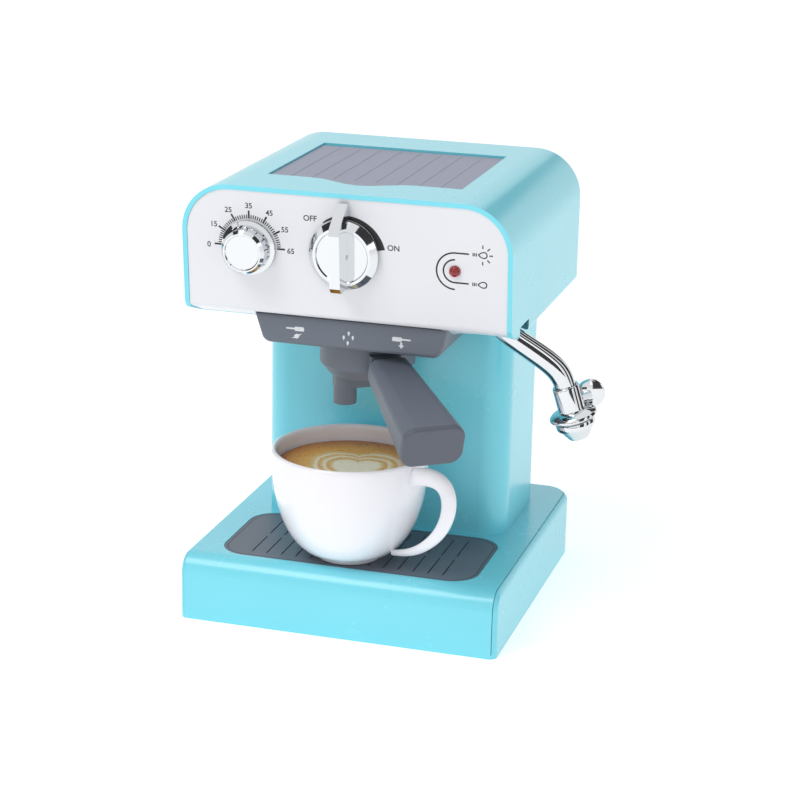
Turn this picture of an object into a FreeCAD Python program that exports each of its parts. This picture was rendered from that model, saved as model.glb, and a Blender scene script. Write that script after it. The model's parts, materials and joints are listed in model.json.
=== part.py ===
"""Toy espresso machine: base, column, head, turning knobs, portafilter, steam wand and cup.

Millimetres. The origin is the middle of the base's underside, +Z is up and the front faces -Y.
"""
import FreeCAD, Part
import math
import os
import Sketcher

V = FreeCAD.Vector
Turn = FreeCAD.Rotation
Place = FreeCAD.Placement

doc = FreeCAD.newDocument("toy_coffee_maker")
sheet = doc.addObject("Spreadsheet::Sheet", "Sizes")
sheet.Label = "sizes"


class Size:
    """A number that also knows how it is worked out from the cells of the sheet."""

    def __init__(self, value, text):
        self.value = float(value)
        self.text = text

    def __add__(self, other):
        return join(self, "+", other, value_of(self) + value_of(other))

    def __radd__(self, other):
        return join(other, "+", self, value_of(other) + value_of(self))

    def __sub__(self, other):
        return join(self, "-", other, value_of(self) - value_of(other))

    def __rsub__(self, other):
        return join(other, "-", self, value_of(other) - value_of(self))

    def __mul__(self, other):
        return join(self, "*", other, value_of(self) * value_of(other))

    def __rmul__(self, other):
        return join(other, "*", self, value_of(other) * value_of(self))

    def __truediv__(self, other):
        return join(self, "/", other, value_of(self) / value_of(other))

    def __neg__(self):
        return join(0, "-", self, -value_of(self))


def value_of(number):
    return number.value if isinstance(number, Size) else float(number)


def text_of(number):
    return number.text if isinstance(number, Size) else "(%r)" % float(number)


def join(left, sign, right, value):
    return Size(value, "(%s %s %s)" % (text_of(left), sign, text_of(right)))


rows_used = 0
held = []


def size(name, value):
    """Put one driving dimension in the sheet."""
    global rows_used
    rows_used += 1
    sheet.set("A%d" % rows_used, name)
    sheet.set("B%d" % rows_used, repr(value))
    sheet.setAlias("B%d" % rows_used, name)
    return Size(value, "sizes." + name)


# Base
base_width = size("base_width", 176.0)
base_depth = size("base_depth", 180.0)
base_height = size("base_height", 36.0)
base_wall = size("base_wall", 2.4)
base_rim = size("base_rim", 2.2)
base_front_round = size("base_front_round", 11.0)
base_back_round = size("base_back_round", 15.0)
base_edge_round = size("base_edge_round", 4.0)
seam = size("seam", 0.3)
foot_x = size("foot_x", 68.0)
foot_y = size("foot_y", 70.0)
foot_radius = size("foot_radius", 7.0)
foot_depth = size("foot_depth", 1.2)
door_half = size("door_half", 34.0)
door_front = size("door_front", 14.0)
door_back = size("door_back", 62.0)
cell_radius = size("cell_radius", 7.1)
cell_length = size("cell_length", 50.0)
# Drip tray
tray_width = size("tray_width", 142.4)
tray_depth = size("tray_depth", 67.6)
tray_front_gap = size("tray_front_gap", 12.0)
tray_corner = size("tray_corner", 15.0)
tray_height = size("tray_height", 12.0)
tray_wall = size("tray_wall", 1.6)
tray_recess = size("tray_recess", 0.2)
grille_thick = size("grille_thick", 2.2)
slot_width = size("slot_width", 1.6)
slot_length = size("slot_length", 24.0)
slot_pitch = size("slot_pitch", 8.2)
slot_columns = 14
# Column
column_width = size("column_width", 139.0)
column_front = size("column_front", -6.5)
column_back = size("column_back", 72.0)
column_wall = size("column_wall", 2.4)
column_round = size("column_round", 14.0)
column_top = size("column_top", 194.0)
# Head
head_width = size("head_width", 176.0)
head_top = size("head_top", 239.0)
head_bottom = size("head_bottom", 165.0)
head_front = size("head_front", -84.0)
head_back = size("head_back", 75.0)
head_wall = size("head_wall", 2.5)
head_top_round = size("head_top_round", 26.0)
head_bottom_round = size("head_bottom_round", 3.0)
head_lean = size("head_lean", 0.08)
chin_height = size("chin_height", 172.0)
chin_back = size("chin_back", -60.0)
panel_thick = size("panel_thick", 2.2)
panel_inset = size("panel_inset", 0.5)
# Lid and water tank
lid_width = size("lid_width", 104.4)
lid_front = size("lid_front", -50.0)
lid_back = size("lid_back", 41.0)
lid_gap = size("lid_gap", 0.4)
lid_thick = size("lid_thick", 2.6)
lid_recess = size("lid_recess", 1.0)
lid_pin_radius = size("lid_pin_radius", 1.0)
lid_pin_back = size("lid_pin_back", 40.2)
lid_tab_width = size("lid_tab_width", 56.0)
lid_tab_reach = size("lid_tab_reach", 11.0)
lid_ribs = 8
pin_clearance = size("pin_clearance", 0.08)
tank_wall = size("tank_wall", 1.8)
# Knobs and lamp on the panel
timer_x = size("timer_x", -51.2)
panel_middle = (chin_height + head_top) / 2
timer_lift = size("timer_lift", 1.4)
timer_z = panel_middle + timer_lift
timer_skirt_radius = size("timer_skirt_radius", 14.4)
timer_grip_radius = size("timer_grip_radius", 12.4)
timer_face_radius = size("timer_face_radius", 9.8)
timer_reach = size("timer_reach", 12.0)
timer_flutes = 20
selector_x = size("selector_x", 0.2)
selector_lift = size("selector_lift", 2.0)
selector_z = panel_middle + selector_lift
selector_radius = size("selector_radius", 18.4)
selector_disc = size("selector_disc", 6.0)
selector_bar = size("selector_bar", 5.6)
selector_reach = size("selector_reach", 18.0)
selector_tip = size("selector_tip", 27.5)
shaft_radius = size("shaft_radius", 3.0)
shaft_clearance = size("shaft_clearance", 0.4)
knob_gap = size("knob_gap", 0.5)
lamp_x = size("lamp_x", 58.1)
lamp_drop = size("lamp_drop", 1.9)
lamp_z = panel_middle - lamp_drop
lamp_radius = size("lamp_radius", 2.9)
# Brewing group
group_y = size("group_y", -38.0)
collar_width = size("collar_width", 100.0)
collar_front = size("collar_front", -74.0)
collar_top = size("collar_top", 171.2)
collar_bottom = size("collar_bottom", 154.6)
collar_taper = size("collar_taper", 9.0)
bayonet_radius = size("bayonet_radius", 29.0)
lug_tip_radius = size("lug_tip_radius", 25.5)
lug_tip_half = size("lug_tip_half", 5.0)
lug_root_half = size("lug_root_half", 7.0)
neck_radius = size("neck_radius", 23.4)
neck_gap = size("neck_gap", 0.6)
ledge_height = size("ledge_height", 3.0)
lug_height = size("lug_height", 3.2)
bowl_drop = size("bowl_drop", 0.8)
bowl_radius = size("bowl_radius", 25.5)
bowl_top = size("bowl_top", 164.0)
bowl_floor = size("bowl_floor", 134.0)
bowl_wall = size("bowl_wall", 2.4)
basket_wall = size("basket_wall", 0.9)
spout_apart = size("spout_apart", 25.0)
spout_radius = size("spout_radius", 6.2)
spout_bottom = size("spout_bottom", 117.5)
handle_turn = size("handle_turn", 36.0)
handle_droop = size("handle_droop", 16.0)
handle_start = size("handle_start", 29.0)
handle_length = size("handle_length", 74.0)
handle_root_width = size("handle_root_width", 22.0)
handle_root_thick = size("handle_root_thick", 15.0)
handle_end_width = size("handle_end_width", 33.0)
handle_end_thick = size("handle_end_thick", 22.0)
handle_root_z = size("handle_root_z", 144.6)
# Steam wand
wand_x = size("wand_x", 71.0)
wand_y = size("wand_y", -51.0)
wand_turn = size("wand_turn", 21.4)
wand_radius = size("wand_radius", 5.6)
wand_top = size("wand_top", 190.0)
wand_seat = size("wand_seat", 180.0)
wand_sweep = size("wand_sweep", 19.5)
wand_room_height = size("wand_room_height", 7.0)
seat_reach = size("seat_reach", 20.0)
seat_plate = size("seat_plate", 2.0)
seat_wall = size("seat_wall", 3.0)
wand_drop_start = size("wand_drop_start", 174.2)
wand_elbow_out = size("wand_elbow_out", 38.5)
wand_elbow_z = size("wand_elbow_z", 139.6)
wand_tilt = size("wand_tilt", 17.0)
wand_end_z = size("wand_end_z", 130.5)
# Cup
cup_x = size("cup_x", -3.0)
cup_y = size("cup_y", -57.0)
cup_radius = size("cup_radius", 41.4)
cup_foot_radius = size("cup_foot_radius", 18.6)
cup_height = size("cup_height", 60.6)
cup_wall = size("cup_wall", 2.6)
cup_ear_turn = size("cup_ear_turn", -20.0)
coffee_depth = size("coffee_depth", 9.0)
doc.recompute()

PLANES = {"top": "XY_Plane", "front": "XZ_Plane", "side": "YZ_Plane"}


def new_body(label, place=None):
    body = doc.addObject("PartDesign::Body", label)
    body.Label = label
    if place is not None:
        body.Placement = place
    return body


def new_sketch(body, plane, offset=0):
    """A sketch on one of the body's own planes, moved along that plane's normal."""
    sketch = body.newObject("Sketcher::SketchObject", body.Name + "_sketch")
    for item in body.Origin.OriginFeatures:
        if item.Role == PLANES[plane]:
            sketch.AttachmentSupport = [(item, "")]
    sketch.MapMode = "FlatFace"
    sketch.AttachmentOffset = Place(V(0, 0, value_of(offset)), Turn())
    if isinstance(offset, Size):
        sketch.setExpression("AttachmentOffset.Base.z", offset.text)
    return sketch


def pin_point(sketch, line, end, x, y):
    """Hold one end of a line at x, y from the sketch's origin."""
    for kind, axis, number in (("DistanceX", -2, x), ("DistanceY", -1, y)):
        if abs(value_of(number)) < 1e-9:
            sketch.addConstraint(Sketcher.Constraint("PointOnObject", line, end, axis))
            continue
        index = sketch.addConstraint(Sketcher.Constraint(kind, -1, 1, line, end, value_of(number)))
        if isinstance(number, Size):
            sketch.setExpression("Constraints[%d]" % index, number.text)


def polygon(sketch, points):
    """A closed outline of straight lines through the points."""
    first = sketch.GeometryCount
    count = len(points)
    for i in range(count):
        (x0, y0), (x1, y1) = points[i], points[(i + 1) % count]
        start = V(value_of(x0), value_of(y0), 0)
        finish = V(value_of(x1), value_of(y1), 0)
        sketch.addGeometry(Part.LineSegment(start, finish), False)
    for i in range(count):
        follower = first + (i + 1) % count
        sketch.addConstraint(Sketcher.Constraint("Coincident", first + i, 2, follower, 1))
    for i in range(count):
        pin_point(sketch, first + i, 1, points[i][0], points[i][1])


def rectangle(sketch, x0, y0, x1, y1):
    polygon(sketch, [(x0, y0), (x1, y0), (x1, y1), (x0, y1)])


def rounded(sketch, x0, y0, x1, y1, radii):
    """A rectangle whose corners, from low left round to high left, have these radii."""
    first = sketch.GeometryCount
    corners = [(x0, y0, 1, 1), (x1, y0, -1, 1), (x1, y1, -1, -1), (x0, y1, 1, -1)]
    before, after = [], []
    for number, (x, y, inx, iny) in enumerate(corners):
        step = value_of(radii[number])
        along_x = V(value_of(x) + inx * step, value_of(y), 0)
        along_y = V(value_of(x), value_of(y) + iny * step, 0)
        before.append(along_y if number % 2 == 0 else along_x)
        after.append(along_x if number % 2 == 0 else along_y)
    for number in range(4):
        sketch.addGeometry(Part.LineSegment(after[number], before[(number + 1) % 4]), False)
    for number in range(4):
        kind, axis = ("Horizontal", "DistanceY") if number % 2 == 0 else ("Vertical", "DistanceX")
        sketch.addConstraint(Sketcher.Constraint(kind, first + number))
        place = (y0, x1, y1, x0)[number]
        held = sketch.addConstraint(Sketcher.Constraint(axis, -1, 1, first + number, 1, value_of(place)))
        if isinstance(place, Size):
            sketch.setExpression("Constraints[%d]" % held, place.text)
    for number, (x, y, inx, iny) in enumerate(corners):
        came, goes = first + (number + 3) % 4, first + number
        radius = radii[number]
        if value_of(radius) == 0:
            sketch.addConstraint(Sketcher.Constraint("Coincident", came, 2, goes, 1))
            continue
        centre = V(value_of(x) + inx * value_of(radius), value_of(y) + iny * value_of(radius), 0)
        middle = centre + V(-inx, -iny, 0) * (value_of(radius) / math.sqrt(2))
        arc = sketch.GeometryCount
        sketch.addGeometry(Part.Arc(before[number], middle, after[number]), False)
        sketch.addConstraint(Sketcher.Constraint("Tangent", came, 2, arc, 1))
        sketch.addConstraint(Sketcher.Constraint("Tangent", arc, 2, goes, 1))
        held = sketch.addConstraint(Sketcher.Constraint("Radius", arc, value_of(radius)))
        if isinstance(radius, Size):
            sketch.setExpression("Constraints[%d]" % held, radius.text)


def circle(sketch, x, y, radius):
    index = sketch.GeometryCount
    centre = V(value_of(x), value_of(y), 0)
    sketch.addGeometry(Part.Circle(centre, V(0, 0, 1), value_of(radius)), False)
    pin_point(sketch, index, 3, x, y)
    held = sketch.addConstraint(Sketcher.Constraint("Radius", index, value_of(radius)))
    if isinstance(radius, Size):
        sketch.setExpression("Constraints[%d]" % held, radius.text)


def bind(thing, prop, number):
    setattr(thing, prop, value_of(number))
    if isinstance(number, Size):
        thing.setExpression(prop, number.text)


def extrude(body, kind, sketch, length, middle=False, turned=False):
    feature = body.newObject("PartDesign::" + kind, body.Name + "_" + kind.lower())
    feature.Profile = sketch
    bind(feature, "Length", length)
    if middle:
        feature.Midplane = True
    feature.Reversed = turned
    sketch.Visibility = False
    doc.recompute()
    return feature


def pad(body, sketch, length, middle=False, turned=False):
    return extrude(body, "Pad", sketch, length, middle, turned)


def pocket(body, sketch, length, middle=False, turned=False):
    return extrude(body, "Pocket", sketch, length, middle, turned)


def revolve(body, outline):
    """Turn an outline of (radius, height) points about the body's own Z axis."""
    sketch = new_sketch(body, "front")
    polygon(sketch, outline)
    feature = body.newObject("PartDesign::Revolution", body.Name + "_revolution")
    feature.Profile = sketch
    feature.ReferenceAxis = (sketch, ["V_Axis"])
    feature.Angle = 360.0
    doc.recompute()
    return feature


def soften(body, kind, amount, picked):
    """Round or chamfer the edges of the body's last shape that the test picks."""
    base = body.Tip
    names = []
    for number, edge in enumerate(base.Shape.Edges, 1):
        ends = [vertex.Point for vertex in edge.Vertexes]
        middle = edge.valueAt((edge.FirstParameter + edge.LastParameter) / 2)
        along = V(0, 0, 0) if len(ends) < 2 else ends[1] - ends[0]
        if picked(middle, along):
            names.append("Edge%d" % number)
    if not names:
        raise ValueError("no edge found on " + body.Label)
    feature = body.newObject("PartDesign::" + kind, body.Name + "_" + kind.lower())
    feature.Base = (base, names)
    bind(feature, "Radius" if kind == "Fillet" else "Size", amount)
    doc.recompute()
    return feature


def fillet(body, radius, picked):
    return soften(body, "Fillet", radius, picked)


def chamfer(body, amount, picked):
    return soften(body, "Chamfer", amount, picked)


def near(a, b, slack=0.05):
    return abs(value_of(a) - value_of(b)) < slack


def runs(along, axis):
    """True where an edge runs along X, Y or Z alone."""
    length = along.Length
    return length > 1e-6 and abs(abs(along[axis]) - length) < 1e-3 * length


def polar_copies(body, feature, count):
    pattern = body.newObject("PartDesign::PolarPattern", body.Name + "_pattern")
    pattern.Originals = [feature]
    for item in body.Origin.OriginFeatures:
        if item.Role == "Z_Axis":
            pattern.Axis = (item, [""])
    pattern.Angle = 360.0
    pattern.Occurrences = count
    body.Tip = pattern
    doc.recompute()
    return pattern


def row_copies(body, feature, role, length, count):
    pattern = body.newObject("PartDesign::LinearPattern", body.Name + "_row")
    pattern.Originals = [feature]
    for item in body.Origin.OriginFeatures:
        if item.Role == role:
            pattern.Direction = (item, [""])
    bind(pattern, "Length", length)
    pattern.Occurrences = count
    body.Tip = pattern
    doc.recompute()
    return pattern


def hollow(body, wall, picked):
    """Shell the body inwards, left open at the faces that the test picks."""
    base = body.Tip
    names = []
    for number, face in enumerate(base.Shape.Faces, 1):
        if picked(face.CenterOfMass):
            names.append("Face%d" % number)
    feature = body.newObject("PartDesign::Thickness", body.Name + "_walls")
    feature.Base = (base, names)
    bind(feature, "Value", wall)
    feature.Reversed = True
    doc.recompute()
    return feature


def front_at(z):
    """How far forward the leaning front of the head is at a height."""
    return head_front + (head_top - z) * head_lean


def upright(number, name, x, y, z, radius, height):
    """A plain cylinder whose sizes are bound to the sheet."""
    item = doc.addObject("Part::Cylinder", "%s_%d" % (name, number))
    bind(item, "Radius", radius)
    bind(item, "Height", height)
    item.Placement = Place(V(value_of(x), value_of(y), value_of(z)), Turn())
    for axis, place in (("x", x), ("y", y), ("z", z)):
        if isinstance(place, Size):
            item.setExpression("Placement.Base." + axis, place.text)
    return item


def block(name, x0, y0, z0, x1, y1, z1):
    """A plain box between two corners, bound to the sheet."""
    item = doc.addObject("Part::Box", name)
    for prop, low, high in (("Length", x0, x1), ("Width", y0, y1), ("Height", z0, z1)):
        bind(item, prop, high - low)
    item.Placement = Place(V(value_of(x0), value_of(y0), value_of(z0)), Turn())
    for axis, place in (("x", x0), ("y", y0), ("z", z0)):
        if isinstance(place, Size):
            item.setExpression("Placement.Base." + axis, place.text)
    return item


def grouped(label, pieces):
    held.extend(piece.Label for piece in pieces)
    item = doc.addObject("Part::Compound", label)
    item.Label = label
    item.Links = pieces
    doc.recompute()
    return item


def cut(label, base, tool):
    item = doc.addObject("Part::Cut", label)
    item.Label = label
    item.Base = base
    item.Tool = tool
    doc.recompute()
    return item


# Base: an open tub of rounded walls, and a cover that wraps over its front and top
half_base = base_width / 2
half_depth = base_depth / 2
cover_half = half_base - base_rim - seam
cover_back = half_depth - base_rim - seam
cover_foot = base_rim + seam
tray_front = tray_front_gap - half_depth
tray_back = tray_front + tray_depth
tray_half = tray_width / 2
grille_top = base_height - tray_recess
pan_floor = grille_top - tray_height


def make_base_tub():
    body = new_body("base_tub")
    sketch = new_sketch(body, "top")
    rectangle(sketch, -half_base, -half_depth, half_base, half_depth)
    pad(body, sketch, base_height)
    fillet(body, base_back_round, lambda p, d: runs(d, 2) and p.y > 0)
    fillet(body, base_front_round, lambda p, d: runs(d, 0) and p.y < 0 and near(p.z, base_height))
    fillet(body, base_edge_round, lambda p, d: near(p.z, base_height) and p.y > value_of(0 - half_depth) / 2)
    room = new_sketch(body, "top", base_wall)
    inner = base_back_round - base_rim
    rounded(room, -cover_half - seam, -half_depth - 1, cover_half + seam, cover_back + seam, (0, 0, inner, inner))
    pocket(body, room, base_height, turned=True)
    pads = new_sketch(body, "top")
    for x in (-foot_x, foot_x):
        for y in (-foot_y, foot_y):
            circle(pads, x, y, foot_radius)
    pocket(body, pads, foot_depth, turned=True)
    hatch = new_sketch(body, "top", -1)
    rectangle(hatch, -door_half - seam, door_front - seam, door_half + seam, door_back + seam)
    pocket(body, hatch, base_wall + 2, turned=True)
    posts = new_sketch(body, "top", base_wall)
    for x in (-tray_half + 16, tray_half - 16):
        for y in (tray_front + 14, tray_back - 14):
            circle(posts, x, y, 4.0)
    pad(body, posts, pan_floor - base_wall)
    return body


def make_foot_pads():
    pieces = []
    for number, (x, y) in enumerate(((-foot_x, -foot_y), (foot_x, -foot_y), (-foot_x, foot_y), (foot_x, foot_y))):
        pieces.append(upright(number, "pad", x, y, 0, foot_radius - 0.1, foot_depth))
    return grouped("foot_pads", pieces)


def make_battery_bay():
    door = new_body("battery_door")
    sketch = new_sketch(door, "top")
    rectangle(sketch, -door_half, door_front, door_half, door_back)
    pad(door, sketch, base_wall)
    hole = new_sketch(door, "top", -1)
    circle(hole, 0, door_back - 5, 1.7)
    pocket(door, hole, base_wall + 2, turned=True)
    screw = new_body("battery_door_screw", Place(V(0, value_of(door_back) - 5, 0), Turn()))
    revolve(screw, [(0, 0.4), (3.0, 0.4), (3.0, 1.6), (1.5, 1.6), (1.5, 6.0), (0, 6.0)])
    sink = new_sketch(door, "top", -1)
    circle(sink, 0, door_back - 5, 3.1)
    pocket(door, sink, 2.6, turned=True)
    bay = new_body("battery_bay")
    walls = new_sketch(bay, "top", base_wall)
    rectangle(walls, -door_half - 2.5, door_front - 2.5, door_half + 2.5, door_back + 2.5)
    pad(bay, walls, cell_radius * 2 + 2)
    hollow(bay, 1.6, lambda c: near(c.z, base_wall))
    cells = []
    for number, y in enumerate((door_front + 9, door_front + 9 + cell_radius * 2 + 1)):
        cell = doc.addObject("Part::Cylinder", "cell_%d" % number)
        bind(cell, "Radius", cell_radius)
        bind(cell, "Height", cell_length)
        seat = value_of(base_wall + cell_radius) + 0.2
        cell.Placement = Place(V(-value_of(cell_length) / 2, value_of(y), seat), Turn(V(0, 1, 0), 90))
        cells.append(cell)
    return grouped("battery_cells", cells)


def make_base_cover():
    body = new_body("base_cover")
    under = base_height - base_wall
    behind = -half_depth + base_wall
    sketch = new_sketch(body, "side")
    polygon(sketch, [(-half_depth, base_wall), (-half_depth, base_height), (cover_back, base_height),
                     (cover_back, under), (behind, under), (behind, base_wall)])
    pad(body, sketch, cover_half * 2, middle=True)
    fillet(body, base_front_round, lambda p, d: runs(d, 0) and near(p.y, -half_depth) and near(p.z, base_height))
    fillet(body, base_front_round - base_wall, lambda p, d: runs(d, 0) and near(p.y, behind) and near(p.z, under))
    corner = base_back_round - base_rim
    fillet(body, corner, lambda p, d: runs(d, 2) and near(p.y, cover_back))
    hole = new_sketch(body, "top", base_height + 1)
    rectangle(hole, -tray_half - seam, tray_front - seam, tray_half + seam, tray_back + seam)
    pocket(body, hole, base_wall + 2)
    fillet(body, tray_corner + seam, lambda p, d: runs(d, 2) and abs(p.x) < value_of(tray_half) + 1)
    return body


def make_drip_pan():
    body = new_body("drip_pan")
    sketch = new_sketch(body, "top", pan_floor)
    rectangle(sketch, -tray_half, tray_front, tray_half, tray_back)
    pad(body, sketch, tray_height)
    fillet(body, tray_corner, lambda p, d: runs(d, 2))
    hollow(body, tray_wall, lambda c: near(c.z, grille_top))
    pegs = new_sketch(body, "top", pan_floor + tray_wall)
    for x in (-tray_half + 18, 0, tray_half - 18):
        for y in (tray_front + 12, tray_back - 12):
            circle(pegs, x, y, 2.4)
    pad(body, pegs, tray_height - tray_wall - grille_thick)
    return body


def make_drip_grille():
    body = new_body("drip_grille")
    edge = tray_wall + seam
    sketch = new_sketch(body, "top", grille_top - grille_thick)
    rectangle(sketch, -tray_half + edge, tray_front + edge, tray_half - edge, tray_back - edge)
    pad(body, sketch, grille_thick)
    fillet(body, tray_corner - edge, lambda p, d: runs(d, 2))
    slots = new_sketch(body, "top", grille_top)
    left = slot_pitch * ((1 - slot_columns) / 2) - slot_width / 2
    middle = (tray_front + tray_back) / 2
    for low in (middle - slot_length - 2.5, middle + 2.5):
        rectangle(slots, left, low, left + slot_width, low + slot_length)
    cut = pocket(body, slots, grille_thick)
    row_copies(body, cut, "X_Axis", slot_pitch * (slot_columns - 1), slot_columns)
    return body


def make_column():
    body = new_body("column_shell")
    half = column_width / 2
    sketch = new_sketch(body, "top", base_height)
    rectangle(sketch, -half, column_front, half, column_back)
    pad(body, sketch, column_top - base_height)
    fillet(body, column_round, lambda p, d: runs(d, 2))
    hollow(body, column_wall, lambda c: near(c.z, base_height) or near(c.z, column_top))
    opening = new_sketch(body, "front", -column_back - 1)
    rectangle(opening, -column_cover_half - seam, column_cover_low - seam,
              column_cover_half + seam, column_cover_high + seam)
    pocket(body, opening, column_wall + 2, turned=True)
    return body


column_cover_half = column_width / 2 - column_round - 2
column_cover_low = base_height + 8
column_cover_high = head_bottom - 8


def make_column_cover():
    body = new_body("column_back_cover")
    sketch = new_sketch(body, "front", -column_back)
    rectangle(sketch, -column_cover_half, column_cover_low, column_cover_half, column_cover_high)
    pad(body, sketch, column_wall)
    flange = new_sketch(body, "front", -column_back + column_wall)
    rectangle(flange, -column_cover_half - 1.6, column_cover_low - 3, column_cover_half + 1.6, column_cover_high + 3)
    pad(body, flange, 1.6)
    vents = new_sketch(body, "front", -column_back)
    rectangle(vents, -24, column_cover_low + 20, 24, column_cover_low + 22)
    cut = pocket(body, vents, column_wall + 2, turned=True)
    row_copies(body, cut, "Z_Axis", 30, 6)
    return body


def make_head_shell():
    body = new_body("head_shell")
    half = head_width / 2
    sketch = new_sketch(body, "front", -head_back)
    rectangle(sketch, -half, head_bottom, half, head_top)
    pad(body, sketch, head_back - head_front + 2)
    fillet(body, head_top_round, lambda p, d: runs(d, 1) and near(p.z, head_top))
    fillet(body, head_bottom_round, lambda p, d: runs(d, 1) and near(p.z, head_bottom))
    deepest = head_front - 4
    hollow(body, head_wall, lambda c: near(c.y, head_back) or near(c.y, head_front - 2))
    nose = new_sketch(body, "side")
    polygon(nose, [(deepest, head_top + 2), (front_at(head_top + 2), head_top + 2),
                   (front_at(chin_height + 2), chin_height + 2), (front_at(chin_height) + 2.5, chin_height - 1.5),
                   (chin_back, head_bottom), (chin_back, head_bottom - 2), (deepest, head_bottom - 2)])
    pocket(body, nose, head_width + 4, middle=True)
    top = new_sketch(body, "top", head_top + 1)
    gap = lid_gap
    rectangle(top, -lid_width / 2 - gap, lid_front - gap, lid_width / 2 + gap, lid_back + 2.4)
    pocket(body, top, head_wall + 2)
    finger = new_sketch(body, "top", head_top + 1)
    bow = tab_outline(gap)
    polygon(finger, [(bow[0][0], lid_front + 1)] + bow + [(bow[-1][0], lid_front + 1)])
    pocket(body, finger, head_wall + 2)
    under = new_sketch(body, "top", head_bottom - 1)
    polygon(under, [(-collar_width / 2 - 0.5, deepest), (collar_width / 2 + 0.5, deepest),
                    (collar_width / 2 + 0.5, column_front - seam), (column_width / 2 + seam, column_front - seam),
                    (column_width / 2 + seam, column_back + seam), (-column_width / 2 - seam, column_back + seam),
                    (-column_width / 2 - seam, column_front - seam), (-collar_width / 2 - 0.5, column_front - seam)])
    pocket(body, under, head_wall + 2, turned=True)
    chin_room = new_sketch(body, "top", head_bottom - 1)
    rectangle(chin_room, -half + head_wall, deepest, half - head_wall, chin_back)
    pocket(body, chin_room, head_wall + 2, turned=True)
    wand_room = new_sketch(body, "top", head_bottom - 1)
    circle(wand_room, wand_x, wand_y, wand_sweep)
    pocket(body, wand_room, wand_room_height + 1, turned=True)
    return body


def tab_outline(gap):
    """The finger tab at the lid's front edge: a shallow bow of short straight runs."""
    half = lid_tab_width / 2
    points = [(-half - gap, lid_front - gap)]
    for share in (-0.75, -0.5, -0.25, 0.0, 0.25, 0.5, 0.75):
        reach = 0.5 + 0.5 * math.cos(math.pi * share)
        points.append((half * share, lid_front - gap - lid_tab_reach * reach))
    points.append((half + gap, lid_front - gap))
    return points


def make_head_back():
    body = new_body("head_back_cover")
    half = head_width / 2 - head_wall - seam
    low = head_bottom + head_wall + seam
    high = head_top - head_wall - seam
    sketch = new_sketch(body, "front", -head_back)
    rectangle(sketch, -half, low, half, high)
    pad(body, sketch, 2.4)
    corner = head_top_round - head_wall - seam
    fillet(body, corner, lambda p, d: runs(d, 1) and near(p.z, high))
    return body


def make_front_panel():
    body = new_body("front_panel")
    high = head_top - head_wall - 0.1
    out = panel_inset
    back = panel_inset + panel_thick
    chin = chin_height + 0.2
    sketch = new_sketch(body, "side")
    polygon(sketch, [(front_at(high) + out, high), (front_at(chin) + out, chin),
                     (chin_back, head_bottom + 0.2), (chin_back, head_bottom + 0.2 + panel_thick),
                     (front_at(chin + panel_thick) + back, chin + panel_thick), (front_at(high) + back, high)])
    half = head_width / 2 - head_wall - 0.1
    pad(body, sketch, half * 2, middle=True)
    corner = head_top_round - head_wall - 0.1
    fillet(body, corner, lambda p, d: near(abs(p.x), half) and p.z > value_of(high) - 1)
    fillet(body, 4.0, lambda p, d: runs(d, 0) and near(p.z, chin) and p.y < value_of(front_at(chin)) + 1)
    mouth = new_sketch(body, "top", head_bottom - 4)
    room = collar_width / 2 + 0.5
    rectangle(mouth, -room, front_at(chin) + back, room, chin_back + 1)
    pocket(body, mouth, chin_height - head_bottom + 8, turned=True)
    sweep = new_sketch(body, "top", head_bottom - 1)
    circle(sweep, wand_x, wand_y, wand_sweep)
    pocket(body, sweep, wand_room_height + 1, turned=True)
    holes = new_sketch(body, "front", 0 - head_front - 6)
    circle(holes, timer_x, timer_z, shaft_radius + shaft_clearance)
    circle(holes, selector_x, selector_z, shaft_radius + shaft_clearance)
    circle(holes, lamp_x, lamp_z, lamp_radius + 0.1)
    pocket(body, holes, 20, middle=True)
    return body


# Water tank under the lid, and the blocks that the lid's pins turn in
tank_half = lid_width / 2 - 1.6
tank_top = head_top - lid_recess - lid_thick - 0.8
pin_z = head_top - head_wall - lid_pin_radius - 0.2


def make_water_tank():
    body = new_body("water_tank")
    sketch = new_sketch(body, "top", column_top)
    rectangle(sketch, -tank_half, lid_front + 1, tank_half, lid_back - 5)
    pad(body, sketch, tank_top - column_top)
    fillet(body, 6.0, lambda p, d: runs(d, 2))
    hollow(body, tank_wall, lambda c: near(c.z, tank_top))
    return body


def make_lid_blocks():
    pieces = []
    for side in (-1, 1):
        inner = lid_width / 2 + lid_gap + 0.2
        outer = inner + 4
        low, high = (inner, outer) if side > 0 else (-outer, -inner)
        name = "right" if side > 0 else "left"
        ear = block(name + "_ear", low, lid_pin_back - 4, pin_z - 3, high, lid_pin_back + 4, head_top - head_wall)
        bore = doc.addObject("Part::Cylinder", name + "_bore")
        bind(bore, "Radius", lid_pin_radius + pin_clearance)
        bind(bore, "Height", outer - inner + 2)
        bore.Placement = Place(V(value_of(low) - 1, value_of(lid_pin_back), value_of(pin_z)), Turn(V(0, 1, 0), 90))
        pieces.append(cut(name + "_block", ear, bore))
    return grouped("lid_hinge_blocks", pieces)


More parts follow.
